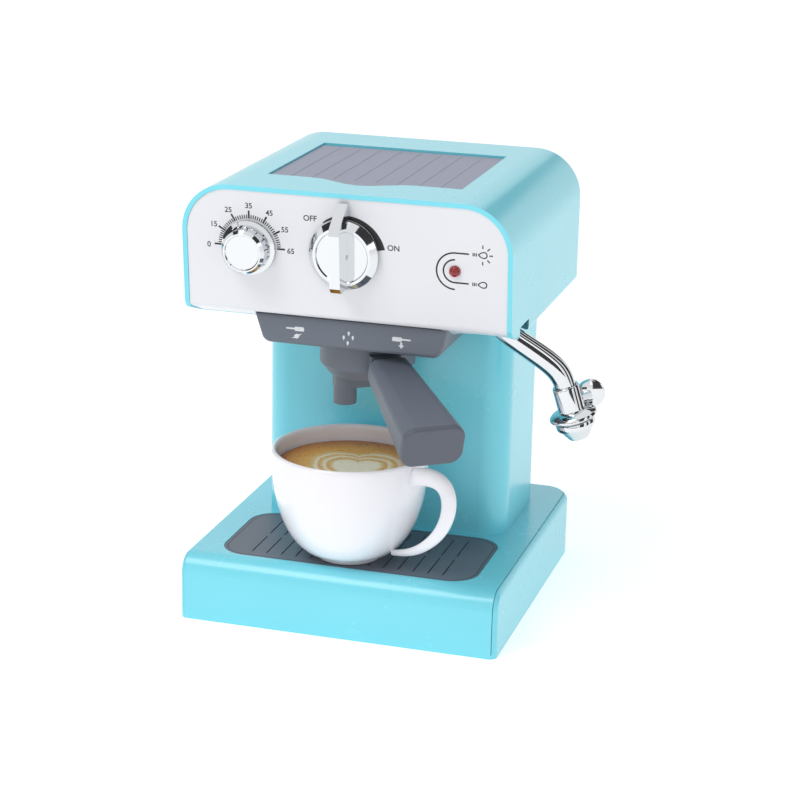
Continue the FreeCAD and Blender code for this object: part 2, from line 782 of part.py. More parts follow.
def make_tank_lid():
    body = new_body("tank_lid")
    half = lid_width / 2
    top = head_top - lid_recess
    sketch = new_sketch(body, "top", top - lid_thick)
    polygon(sketch, [(-half, lid_back), (-half, lid_front)] + tab_outline(0) + [(half, lid_front), (half, lid_back)])
    pad(body, sketch, lid_thick)
    grooves = new_sketch(body, "top", top)
    pitch = lid_width / (lid_ribs + 1)
    left = -half + pitch - 0.5
    rectangle(grooves, left, lid_front + 3, left + 1, lid_back - 4)
    groove = pocket(body, grooves, 0.5)
    row_copies(body, groove, "X_Axis", pitch * (lid_ribs - 1), lid_ribs)
    barrel = new_sketch(body, "side", -half)
    circle(barrel, lid_pin_back, pin_z, 1.4)
    pad(body, barrel, lid_width)
    pins = new_sketch(body, "side", -half - 3)
    circle(pins, lid_pin_back, pin_z, lid_pin_radius)
    pad(body, pins, lid_width + 6)
    return body


def on_panel(x, z):
    """Place a round piece with its own +Z pointing out of the leaning panel."""
    lean = math.degrees(math.atan(value_of(head_lean)))
    seat = value_of(front_at(z)) + value_of(panel_inset)
    return Place(V(value_of(x), seat, value_of(z)), Turn(V(1, 0, 0), 90 + lean))


def make_timer():
    body = new_body("timer_knob", on_panel(timer_x, timer_z))
    bore = shaft_radius
    face = timer_face_radius
    revolve(body, [(bore, knob_gap), (timer_skirt_radius, knob_gap), (timer_skirt_radius, knob_gap + 2),
                   (timer_grip_radius, knob_gap + 3), (timer_grip_radius - 0.8, timer_reach - 1.6),
                   (face + 0.4, timer_reach), (face - 0.4, timer_reach), (face - 0.9, timer_reach - 0.7),
                   (0, timer_reach - 0.7), (0, timer_reach - 5), (bore, timer_reach - 5)])
    flute = new_sketch(body, "top", knob_gap + 3.2)
    circle(flute, timer_grip_radius + 0.3, 0, 0.8)
    polar_copies(body, pocket(body, flute, timer_reach, turned=True), timer_flutes)
    shaft = new_body("timer_shaft", on_panel(timer_x, timer_z))
    sketch = new_sketch(shaft, "top", -12.0)
    circle(sketch, 0, 0, shaft_radius)
    pad(shaft, sketch, timer_reach + 7)
    make_case("timer_case", on_panel(timer_x, timer_z), 16.0, -14.0)
    return body


def make_case(label, place, radius, floor):
    """The closed case behind the panel that holds a knob's shaft."""
    body = new_body(label, place)
    front = -panel_thick - 0.1
    bore = shaft_radius + shaft_clearance
    revolve(body, [(bore, front), (radius, front), (radius, floor), (0, floor), (0, floor + 1.6), (bore, floor + 1.6)])
    return body


def make_selector():
    place = on_panel(selector_x, selector_z)
    dial = new_body("selector_dial", place)
    rim = selector_radius
    high = selector_disc
    revolve(dial, [(shaft_radius, knob_gap), (rim - 0.6, knob_gap), (rim, knob_gap + 1), (rim, high - 3),
                   (rim - 3, high), (rim - 4.4, high), (rim - 5, high - 0.8), (shaft_radius, high - 0.8)])
    room = new_sketch(dial, "top", high + 1)
    rectangle(room, -selector_bar / 2, -rim + 1.4, selector_bar / 2, rim + 2)
    pocket(dial, room, 4.0)
    grip = new_body("selector_grip", place)
    low = high - 2.98
    sketch = new_sketch(grip, "side")
    polygon(sketch, [(-rim + 1.6, low), (-rim + 2.2, selector_reach - 3), (-rim + 5, selector_reach - 0.6),
                     (rim - 4, selector_reach), (rim - 0.5, selector_reach - 1.2), (selector_tip, 3.4),
                     (selector_tip, 1.2), (rim + 0.6, 1.2), (rim + 0.6, low)])
    pad(grip, sketch, selector_bar - 0.02, middle=True)
    socket = new_sketch(grip, "top", low - 1)
    circle(socket, 0, 0, shaft_radius)
    pocket(grip, socket, 5.0, turned=True)
    shaft = new_body("selector_shaft", place)
    sketch = new_sketch(shaft, "top", -12.0)
    circle(sketch, 0, 0, shaft_radius)
    pad(shaft, sketch, low + 12 + 3.9)
    make_case("selector_case", place, 14.0, -14.0)
    return dial


def make_lamp():
    place = on_panel(lamp_x, lamp_z)
    lens = new_body("lamp_lens", place)
    dome = lamp_radius
    back = -panel_thick - 0.1
    points = [(0, back - 3), (dome + 0.7, back - 3), (dome + 0.7, back), (dome, back), (dome, 0.6)]
    points += [(dome * math.cos(math.radians(a)), 0.6 + 2.2 * math.sin(math.radians(a))) for a in (22, 44, 66)]
    points.append((0, 2.8))
    revolve(lens, points)
    board = new_body("circuit_board", place)
    sketch = new_sketch(board, "top", back - 4.6)
    rectangle(sketch, -15.0, -10.0, 15.0, 10.0)
    pad(board, sketch, 1.6)
    posts = new_sketch(board, "top", back - 3)
    for x in (-12.0, 12.0):
        circle(posts, x, 0, 2.0)
    pad(board, posts, 3.0)
    return lens


# Brewing group: collar, bayonet ring and the portafilter that hangs in it
def at_group(turn=0.0):
    return Place(V(0, value_of(group_y), 0), Turn(V(0, 0, 1), turn))


def make_collar():
    body = new_body("group_collar")
    half = collar_width / 2
    sketch = new_sketch(body, "front", -column_front + seam)
    polygon(sketch, [(-half, collar_top), (-half + 1.5, collar_bottom + 7), (-half + collar_taper, collar_bottom),
                     (half - collar_taper, collar_bottom), (half - 1.5, collar_bottom + 7), (half, collar_top)])
    pad(body, sketch, column_front - seam - collar_front)
    fillet(body, 8.0, lambda p, d: near(p.y, collar_front) and abs(p.x) > value_of(half) - 2.4)
    bore = new_sketch(body, "top", collar_bottom - 1)
    circle(bore, 0, group_y, bayonet_radius)
    pocket(body, bore, bowl_top + 2.4 - collar_bottom + 1, turned=True)
    return body


def make_bayonet_ring():
    """Three straight-edged ledges in the collar's bore, with wide gaps where the lugs go in."""
    ledges = []
    for number in range(3):
        body = new_body("ledge_%d" % number, at_group(value_of(handle_turn) + 60 + 120 * number))
        disc = new_sketch(body, "top", collar_bottom)
        circle(disc, 0, 0, bayonet_radius)
        pad(body, disc, ledge_height)
        rest = new_sketch(body, "top", collar_bottom - 1)
        reach = bayonet_radius + 1
        rectangle(rest, -reach, -neck_radius - neck_gap, reach, reach)
        pocket(body, rest, ledge_height + 2, turned=True)
        ledges.append(body)
    return grouped("bayonet_ring", ledges)


def make_neck():
    """The thin neck that goes up into the collar, and the three lugs on it."""
    body = new_body("portafilter_neck", at_group(value_of(handle_turn)))
    inner = neck_radius - bowl_wall
    step = collar_bottom - bowl_drop
    revolve(body, [(inner, step), (neck_radius, step), (neck_radius, bowl_top), (inner, bowl_top)])
    root = neck_radius - 1.5
    lugs = []
    for number in range(3):
        lug = new_body("lug_%d" % number, at_group(value_of(handle_turn) + 120 * number))
        outline = new_sketch(lug, "top", collar_bottom + ledge_height + 0.5)
        polygon(outline, [(-lug_root_half, -root), (lug_root_half, -root), (lug_tip_half, -lug_tip_radius),
                          (-lug_tip_half, -lug_tip_radius)])
        pad(lug, outline, lug_height)
        core = new_sketch(lug, "top", collar_bottom + ledge_height)
        circle(core, 0, 0, neck_radius)
        pocket(lug, core, lug_height + 1, turned=True)
        lugs.append(lug)
    return grouped("portafilter_lugs", lugs)


def make_bowl():
    body = new_body("portafilter_bowl", at_group(value_of(handle_turn)))
    inner = neck_radius - bowl_wall
    step = collar_bottom - bowl_drop
    revolve(body, [(inner, step), (neck_radius, step), (bowl_radius, step - 0.6),
                   (bowl_radius, bowl_floor + 6), (bowl_radius - 5, bowl_floor), (5.0, bowl_floor),
                   (5.0, bowl_floor + bowl_wall), (inner - 4, bowl_floor + bowl_wall), (inner, bowl_floor + 8)])
    boss = new_sketch(body, "side")
    middle = handle_root_z
    lean = 5.5 * math.tan(math.radians(value_of(handle_droop)))
    inside = -bowl_radius + 2.5
    polygon(boss, [(inside, middle + 5.5), (-handle_start - lean, middle + 5.5), (-handle_start + lean, middle - 5.5),
                   (inside, middle - 5.5)])
    pad(body, boss, 16.0, middle=True)
    return body


def make_basket():
    body = new_body("filter_basket", at_group())
    out = neck_radius - bowl_wall - 0.4
    floor = bowl_floor + 9
    lip = bowl_top + 0.3
    rim = neck_radius - 0.6
    revolve(body, [(0, floor), (out - 3, floor), (out, floor + 3), (out, lip), (rim, lip), (rim, lip + basket_wall),
                   (out - basket_wall, lip + basket_wall), (out - basket_wall, floor + 3.4),
                   (out - 3.4, floor + basket_wall), (0, floor + basket_wall)])
    return body


def make_spout():
    body = new_body("portafilter_spout", at_group(value_of(handle_turn)))
    half = spout_apart / 2
    sketch = new_sketch(body, "top", bowl_floor - 7)
    rectangle(sketch, -half - spout_radius, -7.5, half + spout_radius, 7.5)
    pad(body, sketch, 7.0)
    fillet(body, 6.0, lambda p, d: runs(d, 2))
    legs = new_sketch(body, "top", spout_bottom)
    circle(legs, -half, 0, spout_radius)
    circle(legs, half, 0, spout_radius)
    pad(body, legs, bowl_floor - 7 - spout_bottom)
    bores = new_sketch(body, "top", spout_bottom)
    circle(bores, -half, 0, spout_radius - 2.6)
    circle(bores, half, 0, spout_radius - 2.6)
    pocket(body, bores, bowl_floor - 3 - spout_bottom, turned=True)
    return body


def handle_place(reach):
    """A place on the handle's axis, with the piece's own +Z pointing out along it."""
    droop = value_of(handle_droop)
    start = Place(V(0, -value_of(handle_start), value_of(handle_root_z)), Turn(V(1, 0, 0), 90 + droop))
    return at_group(value_of(handle_turn)).multiply(start).multiply(Place(V(0, 0, reach), Turn()))


def rounded_wire(width, thick, radius, height):
    """A rounded rectangle as one wire across the Z axis at a height."""
    half_w, half_t = value_of(width) / 2, value_of(thick) / 2
    edges = []
    last = None
    first = None
    for turn, (x, y) in enumerate(((1, 1), (-1, 1), (-1, -1), (1, -1))):
        centre = V(x * (half_w - radius), y * (half_t - radius), height)
        points = []
        for angle in (0, 45, 90):
            way = math.radians(angle + 90 * turn)
            points.append(centre + V(math.cos(way), math.sin(way), 0) * radius)
        if last is None:
            first = points[0]
        else:
            edges.append(Part.LineSegment(last, points[0]).toShape())
        edges.append(Part.Arc(*points).toShape())
        last = points[2]
    edges.append(Part.LineSegment(last, first).toShape())
    return Part.Wire(edges)


def make_handle():
    root = rounded_wire(handle_root_width, handle_root_thick, 5.0, 4.6)
    tip = rounded_wire(handle_end_width, handle_end_thick, 7.0, value_of(handle_length))
    grip = Part.makeLoft([root, tip], True, True)
    tang = Part.makeBox(14, 10, 5.0, V(-7, -5, 0.1))
    body = doc.addObject("Part::Feature", "portafilter_handle")
    body.Label = "portafilter_handle"
    body.Shape = grip.fuse(tang)
    body.Placement = handle_place(0)
    cap = new_body("handle_end_cap", handle_place(value_of(handle_length)))
    sketch = new_sketch(cap, "top")
    rounded(sketch, -handle_end_width / 2, -handle_end_thick / 2, handle_end_width / 2, handle_end_thick / 2,
            (7.0, 7.0, 7.0, 7.0))
    pad(cap, sketch, 3.0)
    fillet(cap, 1.4, lambda p, d: near(p.z, 3.0))
    return body


# Steam wand
def wand_place():
    return Place(V(value_of(wand_x), value_of(wand_y), 0), Turn(V(0, 0, 1), value_of(wand_turn)))


def wand_end(drop):
    """A place on the wand's straight end, with the piece's own +Z pointing down along it."""
    tilt = value_of(wand_tilt)
    out = value_of(wand_elbow_out) + (value_of(wand_elbow_z) - value_of(wand_end_z)) * math.tan(math.radians(tilt))
    seat = Place(V(out, 0, value_of(wand_end_z)), Turn(V(0, 1, 0), 180 - tilt))
    return wand_place().multiply(seat).multiply(Place(V(0, 0, drop), Turn()))


def bent_path(points, radii):
    """Straight runs joined by tangent arcs, one radius at each inner point."""
    edges = []
    last = points[0]
    for i in range(1, len(points) - 1):
        before = (points[i] - points[i - 1]).normalize()
        after = (points[i + 1] - points[i]).normalize()
        turn = before.getAngle(after)
        reach = radii[i - 1] * math.tan(turn / 2)
        enter = points[i] - before * reach
        leave = points[i] + after * reach
        inward = (after - before).normalize()
        centre = points[i] + inward * (radii[i - 1] / math.cos(turn / 2))
        middle = centre - inward * radii[i - 1]
        edges.append(Part.LineSegment(last, enter).toShape())
        edges.append(Part.Arc(enter, middle, leave).toShape())
        last = leave
    edges.append(Part.LineSegment(last, points[-1]).toShape())
    return Part.Wire(edges)


def make_wand():
    tilt = math.radians(value_of(wand_tilt))
    out = value_of(wand_elbow_out)
    bend_z = value_of(wand_elbow_z)
    end_z = value_of(wand_end_z)
    top = value_of(wand_top)
    points = [V(0, 0, top), V(0, 0, value_of(wand_drop_start)), V(out, 0, bend_z),
              V(out + (bend_z - end_z) * math.tan(tilt), 0, end_z)]
    path = bent_path(points, (11.0, 13.0))
    ring = Part.Wire(Part.makeCircle(value_of(wand_radius), points[0], V(0, 0, -1)))
    tube = doc.addObject("Part::Feature", "wand_tube")
    tube.Label = "wand_tube"
    tube.Shape = path.makePipeShell([ring], True, True)
    tube.Placement = wand_place()
    seat = new_body("wand_seat")
    floor = head_bottom + head_wall
    left, right = wand_x - seat_reach, head_width / 2 - head_wall - seam
    front, back = wand_y - wand_radius - seat_wall, wand_y + seat_reach + seat_wall
    plate = new_sketch(seat, "top", wand_seat)
    rectangle(plate, left, front, right, back)
    pad(seat, plate, seat_plate)
    legs = new_sketch(seat, "top", floor)
    rectangle(legs, left, back - seat_wall, right, back)
    pad(seat, legs, wand_seat - floor)
    boss = new_sketch(seat, "top", wand_seat)
    circle(boss, wand_x, wand_y, wand_radius + 2.6)
    pad(seat, boss, wand_top - wand_seat - 4)
    bore = new_sketch(seat, "top", wand_seat - 1)
    circle(bore, wand_x, wand_y, wand_radius + pin_clearance)
    pocket(seat, bore, wand_top - wand_seat, turned=True)
    nut = new_body("wand_top_nut", wand_place())
    low = wand_top - 3.6
    revolve(nut, [(wand_radius, low), (wand_radius + 2.6, low), (wand_radius + 2.6, low + 2.6), (wand_radius, low + 2.6)])
    sleeve = new_body("wand_sleeve", wand_end(0))
    r = wand_radius
    revolve(sleeve, [(0, 0), (r + 1.2, 0), (r + 1.6, 0.6), (r + 1.6, 11), (0, 11)])
    arm = new_sketch(sleeve, "top", 2)
    rectangle(arm, -12.0, 1.0, -3.0, 5.9)
    pad(sleeve, arm, 5.0)
    collar = new_body("wand_flange", wand_end(0))
    revolve(collar, [(0, 11), (r + 2.4, 11), (r + 5.6, 12.4), (r + 7.2, 14), (r + 7.2, 15), (r + 5.6, 16.4),
                     (r + 3.4, 17), (0, 17)])
    nozzle = new_body("wand_nozzle", wand_end(0))
    revolve(nozzle, [(1.4, 17), (r + 4.4, 17), (r + 5, 17.8), (r + 5, 20.4), (r + 3.6, 21.2), (r, 26.6),
                     (r - 1, 27.6), (1.4, 27.6)])
    knob_seat = wand_end(4.5).multiply(Place(V(-12.5, 6.0, 0), Turn(V(1, 0, 0), -90)))
    knob = new_body("wand_knob", knob_seat)
    revolve(knob, [(0, 0), (6.4, 0), (7.6, 1), (7.6, 4.4), (6.4, 5.6), (0, 6.2)])
    return tube


# Cup with its printed coffee disc
def cup_arc(inner):
    """The cup's side as a line of (radius, height) points, from the foot to the rim."""
    wall = cup_wall if inner else 0 * cup_wall
    points = []
    for share in (0.0, 0.1, 0.22, 0.36, 0.52, 0.7, 0.86, 1.0):
        swell = (1 - (1 - share) ** 2.4) ** 0.6
        if inner and share == 0.0:
            points.append((cup_foot_radius - wall, grille_top + wall + 2.4))
            continue
        radius = cup_foot_radius + (cup_radius - cup_foot_radius) * swell - wall
        points.append((radius, grille_top + 2.4 + (cup_height - 2.4) * share + wall * (1 - share)))
    return points


def make_cup():
    place = Place(V(value_of(cup_x), value_of(cup_y), 0), Turn(V(0, 0, 1), value_of(cup_ear_turn)))
    shell = new_body("cup_wall", place)
    outer = cup_arc(False)
    inner = cup_arc(True)
    foot = grille_top + 0.3
    revolve(shell, [(0, foot + 1.2), (cup_foot_radius - 3, foot + 1.2), (cup_foot_radius - 3, foot),
                    (cup_foot_radius - 0.6, foot)] + outer + list(reversed(inner)) + [(0, inner[0][1])])
    points = [V(36.0, 0, 83.0), V(50.0, 0, 93.0), V(66.0, 0, 88.0), V(62.0, 0, 62.0), V(44.0, 0, 44.0), V(27.0, 0, 45.0)]
    path = bent_path(points, (9.0, 9.0, 16.0, 16.0))
    ring = Part.Wire(Part.Ellipse(V(0, 0, 0), 4.6, 3.0).toShape())
    ring.rotate(V(0, 0, 0), V(0, 0, 1), 90)
    ring.rotate(V(0, 0, 0), V(0, 1, 0), 90)
    tangent = points[1] - points[0]
    ring.rotate(V(0, 0, 0), V(0, 1, 0), -math.degrees(math.atan2(tangent.z, tangent.x)))
    ring.translate(points[0])
    ear = path.makePipeShell([ring], True, True)
    body_shape = shell.Shape.copy()
    body_shape.Placement = Place()
    outline = [V(0, 0, value_of(foot) + 1)] + [V(value_of(a), 0, value_of(b)) for a, b in inner]
    outline += [V(0, 0, value_of(inner[-1][1]))]
    inside = Part.Face(Part.makePolygon(outline + [outline[0]])).revolve(V(0, 0, 0), V(0, 0, 1), 360)
    cup = doc.addObject("Part::Feature", "cup")
    cup.Label = "cup"
    cup.Shape = body_shape.fuse(ear.cut(inside))
    cup.Placement = place
    doc.removeObject(shell.Name)
    coffee = new_body("coffee_disc", place)
    level = grille_top + cup_height - coffee_depth
    inner_at = [a for a, b in inner if value_of(b) > value_of(level) - 3][0]
    revolve(coffee, [(0, level - 1.6), (inner_at - 0.4, level - 1.6), (inner_at - 0.2, level), (0, level)])
    return cup


make_base_tub()
make_foot_pads()
make_battery_bay()
make_base_cover()
make_drip_pan()
make_drip_grille()
make_column()
make_column_cover()
make_head_shell()
make_head_back()
make_front_panel()
make_water_tank()
make_lid_blocks()
make_tank_lid()
make_timer()
make_selector()
make_lamp()
make_collar()
make_bayonet_ring()
make_neck()
make_bowl()
make_basket()
make_spout()
make_handle()
make_wand()
make_cup()
doc.recompute()
for item in doc.Objects:
    if "Invalid" in item.State or "Error" in item.State:
        raise RuntimeError("%s did not build: %s" % (item.Name, item.State))

os.makedirs("parts", exist_ok=True)
loose = ("wand_tube", "cup", "lid_hinge_blocks", "portafilter_handle", "foot_pads", "battery_cells", "bayonet_ring",
         "portafilter_lugs")
pieces = [item for item in doc.Objects if item.TypeId == "PartDesign::Body" or item.Label in loose]
for piece in pieces:
    if piece.Label in held:
        continue
    shape = piece.Shape
    if shape.isNull() or not shape.isValid():
        raise RuntimeError(piece.Label + " is not a valid solid")
    shape.exportStep("parts/" + piece.Label + ".step")
    print("%-22s %d solid(s) %9.0f mm3" % (piece.Label, len(shape.Solids), shape.Volume))
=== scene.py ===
# %% [markdown]
# Toy espresso machine. The moulded pieces come ready made and fixed in place. This lesson dresses
# them: plastics, chrome, printed scales, a smooth cup and the coffee in it, then floor and light.
# Sizes are written in millimetres, and places are taken from the moulded pieces and their joints.

# %% Load the pieces
import json
import math

import bpy
from mathutils import Matrix, Vector


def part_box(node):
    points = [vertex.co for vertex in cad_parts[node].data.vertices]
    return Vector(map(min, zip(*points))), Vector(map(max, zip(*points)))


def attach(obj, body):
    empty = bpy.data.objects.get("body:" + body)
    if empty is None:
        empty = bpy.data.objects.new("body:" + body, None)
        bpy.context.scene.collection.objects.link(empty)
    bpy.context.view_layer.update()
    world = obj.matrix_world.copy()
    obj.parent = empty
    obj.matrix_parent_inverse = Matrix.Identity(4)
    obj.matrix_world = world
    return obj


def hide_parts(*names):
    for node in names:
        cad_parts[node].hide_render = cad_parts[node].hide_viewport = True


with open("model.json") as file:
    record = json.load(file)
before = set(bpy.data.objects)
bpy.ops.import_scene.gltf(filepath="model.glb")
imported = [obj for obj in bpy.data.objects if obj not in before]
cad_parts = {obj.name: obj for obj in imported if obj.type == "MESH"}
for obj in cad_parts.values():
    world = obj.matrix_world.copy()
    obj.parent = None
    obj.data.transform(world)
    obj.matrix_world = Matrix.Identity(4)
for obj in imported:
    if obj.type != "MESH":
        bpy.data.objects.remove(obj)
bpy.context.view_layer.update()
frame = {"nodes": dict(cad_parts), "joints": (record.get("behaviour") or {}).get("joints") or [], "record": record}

MM = 0.001
nodes = frame["nodes"]
pivots = {joint["name"]: Vector(joint["pos_m"]) / MM for joint in frame["joints"] if "pos_m" in joint}
bpy.ops.object.select_all(action="DESELECT")

# %% [markdown]
# The camera stands where the photographer stood: a little to the right of the front, above the
# lid and far away, so that upright edges stay almost upright. It could be aimed by hand, but a
# small roll is hard to hit that way, so its turn is built from three directions.

# %% Camera
AZIMUTH = math.radians(16.3)
ELEVATION = math.radians(17.2)
ROLL = math.radians(1.2)
DISTANCE = 1242.9 * MM
TARGET = Vector((6.5, 0.0, 107.2)) * MM
PICTURE = 800.0
FOCAL_PIXELS = 2248.6
CENTRE_X = 398.6
CENTRE_Y = 399.7
SENSOR = 36.0

flat = math.cos(ELEVATION)
back = Vector((math.sin(AZIMUTH) * flat, -math.cos(AZIMUTH) * flat, math.sin(ELEVATION)))
level_right = (-back).cross(Vector((0, 0, 1))).normalized()
level_up = level_right.cross(-back)
right = level_right * math.cos(ROLL) + level_up * math.sin(ROLL)
up = level_up * math.cos(ROLL) - level_right * math.sin(ROLL)
bpy.ops.object.camera_add()
camera = bpy.context.object
camera.name = "camera"
camera.matrix_world = Matrix((right, up, back)).transposed().to_4x4()
camera.location = TARGET + back * DISTANCE
camera.data.sensor_width = SENSOR
camera.data.lens = FOCAL_PIXELS / PICTURE * SENSOR
camera.data.shift_x = (PICTURE / 2 - CENTRE_X) / PICTURE
camera.data.shift_y = (CENTRE_Y - PICTURE / 2) / PICTURE
bpy.context.scene.camera = camera
print("lens", round(camera.data.lens, 1), "mm")

# %% [markdown]
# A finish is a small web of nodes. Each sum could be a node that is added and linked by hand, but
# sums are easier to read as sums, so one class wraps a socket and turns + - * / and ** into nodes.

# %% Shader sums
class Wire:
    """One number coming out of a node."""

    def __init__(self, finish, socket):
        self.finish = finish
        self.socket = socket

    def __add__(self, other):
        return self.finish.math("ADD", self, other)

    __radd__ = __add__

    def __sub__(self, other):
        return self.finish.math("SUBTRACT", self, other)

    def __rsub__(self, other):
        return self.finish.math("SUBTRACT", other, self)

    def __mul__(self, other):
        return self.finish.math("MULTIPLY", self, other)

    __rmul__ = __mul__

    def __truediv__(self, other):
        return self.finish.math("DIVIDE", self, other)

    def __pow__(self, other):
        return self.finish.math("POWER", self, other)


# %% [markdown]
# A second class is the material itself. It adds any node by its type, with its settings first and
# then the values or links of its sockets, and has short words for what every finish here needs:
# noise, a mix of two colours, and a grain that lifts the surface.

# %% Finishes
class Finish:
    """A material whose nodes are added one call at a time."""

    def __init__(self, name):
        self.material = bpy.data.materials.new(name)
        self.material.use_nodes = True
        self.tree = self.material.node_tree
        self.shader = self.tree.nodes["Principled BSDF"]
        self.place = self.node("ShaderNodeTexCoord").outputs["Object"]

    def node(self, kind, settings=None, sockets=None):
        node = self.tree.nodes.new(kind)
        for name, value in (settings or {}).items():
            if name == "stops":
                self.set_stops(node.color_ramp, value)
            else:
                setattr(node, name, value)
        for name, value in (sockets or {}).items():
            self.feed(node.inputs[name], value)
        return node

    def set_stops(self, ramp, stops):
        while len(ramp.elements) < len(stops):
            ramp.elements.new(0.5)
        for element, (position, colour) in zip(ramp.elements, stops):
            element.position = position
            element.color = (*colour, 1.0)

    def feed(self, socket, value):
        if isinstance(value, Wire):
            self.tree.links.new(value.socket, socket)
        elif isinstance(value, bpy.types.NodeSocket):
            self.tree.links.new(value, socket)
        else:
            socket.default_value = value

    def fix(self, **values):
        """Set what is the same all over on the shader's own sockets."""
        for name, value in values.items():
            self.shader.inputs[name.replace("_", " ")].default_value = value

    def vary(self, name, value):
        """Let what changes over the surface drive one of the shader's sockets."""
        self.feed(self.shader.inputs[name], value)

    def math(self, operation, *terms):
        node = self.node("ShaderNodeMath", {"operation": operation}, dict(enumerate(terms)))
        return Wire(self, node.outputs[0])

    def cloudy(self, size, detail):
        """A noise node whose blobs are about this many millimetres across."""
        return self.node("ShaderNodeTexNoise", {"noise_dimensions": "3D"},
                         {"Vector": self.place, "Scale": 1 / (size * MM), "Detail": detail})

    def noise(self, size, detail=3.0):
        return Wire(self, self.cloudy(size, detail).outputs[0])

    def mix(self, share, first, second):
        node = self.node("ShaderNodeMix", {"data_type": "RGBA"}, {0: share, 6: first, 7: second})
        return node.outputs[2]

    def grain(self, height, depth, strength=0.5):
        """Raise the surface by the height wire, up to depth in millimetres."""
        node = self.node("ShaderNodeBump", None,
                         {"Strength": strength, "Distance": depth * MM, "Height": height})
        self.vary("Normal", node.outputs[0])


def paint(red, green, blue):
    """A screen colour, 0 to 255, as the linear light that a shader works in."""
    parts = [value / 255 for value in (red, green, blue)]
    return tuple(p / 12.92 if p <= 0.04045 else ((p + 0.055) / 1.055) ** 2.4 for p in parts)


def shade(colour, factor):
    return (*[part * factor for part in colour], 1.0)


# %% [markdown]
# Moulded plastic is never one flat colour. It is a little darker in soft clouds, its gloss
# wanders, and the mould leaves a skin: nearly smooth on the gloss pieces, a fine sand on the
# dark ones. One function makes them all, with the size and depth of that skin as its numbers.

# %% Plastics
CLOUD = 45.0
CLOUD_GLOSS = 0.08
SKIN_GLOSS = 0.05
COAT_GLOSS = 0.12


def plastic(name, colour, gloss, skin_size, skin_depth, clouds=0.03, coat=0.0):
    finish = Finish(name)
    cloud = finish.noise(CLOUD, 2.0)
    skin = finish.noise(skin_size, 2.0)
    smoothest = gloss - (CLOUD_GLOSS + SKIN_GLOSS) / 2
    finish.vary("Base Color", finish.mix(cloud, shade(colour, 1 - clouds), shade(colour, 1 + clouds)))
    finish.vary("Roughness", cloud * CLOUD_GLOSS + skin * SKIN_GLOSS + smoothest)
    finish.fix(Coat_Weight=coat, Coat_Roughness=COAT_GLOSS)
    finish.grain(skin, skin_depth)
    return finish.material


# A row is the colour, the gloss, the size and depth of the skin, then the clouds and the coat.
finishes = {
    "turquoise": plastic("turquoise_gloss", paint(122, 221, 238), 0.26, 9.0, 0.008, coat=0.25),
    "white": plastic("white_gloss", paint(229, 230, 235), 0.30, 9.0, 0.008, 0.012, 0.2),
    "dark_grey": plastic("dark_satin", paint(102, 109, 121), 0.46, 0.5, 0.04, 0.05),
    "slate_grey": plastic("slate_satin", paint(152, 156, 176), 0.48, 0.6, 0.05, 0.05),
    "rubber": plastic("foot_rubber", paint(42, 42, 44), 0.75, 0.8, 0.08, 0.08),
    "board": plastic("board_green", paint(38, 112, 66), 0.42, 1.5, 0.03, 0.08),
    "black": plastic("inner_black", paint(34, 35, 38), 0.5, 0.7, 0.04, 0.08),
    "cell": plastic("cell_wrap", paint(48, 48, 54), 0.35, 3.0, 0.02, 0.06),
}
print("plastics", len(finishes), "cloud", CLOUD, "mm")

# %% [markdown]
# Chrome on a toy is plated plastic: a mirror with a faint swell from the mould below and a few
# smudges where fingers go. Only the roughness and a very shallow bump vary.

# %% Metals
SMUDGE_SIZE = 12.0
SWELL_STRENGTH = 0.3


def metal(name, colour, gloss, swell_size, swell_depth, smudge):
    finish = Finish(name)
    swell = finish.noise(swell_size, 2.0)
    finish.fix(Metallic=1.0, Base_Color=(*colour, 1.0))
    finish.vary("Roughness", finish.noise(SMUDGE_SIZE, 4.0) * smudge + gloss)
    finish.grain(swell, swell_depth, SWELL_STRENGTH)
    return finish.material


# The colour, the gloss, the size and depth of the swell, and how much the smudges show.
finishes["chrome"] = metal("chrome_plate", (0.70, 0.72, 0.74), 0.03, 9.0, 0.05, 0.05)
finishes["steel"] = metal("plain_steel", (0.56, 0.57, 0.60), 0.24, 1.2, 0.03, 0.15)

# %% [markdown]
# The lamp is clear red plastic over a dark case: deep red and very smooth, with a painted sheen
# that makes it lighter where it curves away. The cup is glazed, whiter and softer than the machine.

# %% Lamp and glaze
# How far in from the lens's edge the painted sheen reaches.
LENS_SHEEN_BLEND = 0.35


def lamp_red():
    finish = Finish("lamp_red_lens")
    # Painted sheen: the red is mixed towards a lighter red where the lens turns side-on to the camera.
    edge = finish.node("ShaderNodeLayerWeight", None, {"Blend": LENS_SHEEN_BLEND}).outputs["Facing"]
    deep, light = paint(128, 2, 8), paint(184, 16, 24)
    finish.vary("Base Color", finish.mix(edge, shade(deep, 1.0), shade(light, 1.0)))
    finish.fix(Roughness=0.12, Coat_Weight=0.6)
    return finish.material


finishes["lamp_red"] = lamp_red()
finishes["cup_white"] = plastic("cup_glaze", paint(243, 242, 248), 0.22, 11.0, 0.03, 0.012, 0.45)

# %% [markdown]
# The coffee is a printed disc with poured foam: rings that follow a heart. A heart's outline is a
# circle whose middle line is pushed up by the root of the distance from that line, so one
# distance gives the heart and every ring round it. Noise bends the rings as milk does. A drawn
# picture would do for one view, but a formula stays sharp from close by.

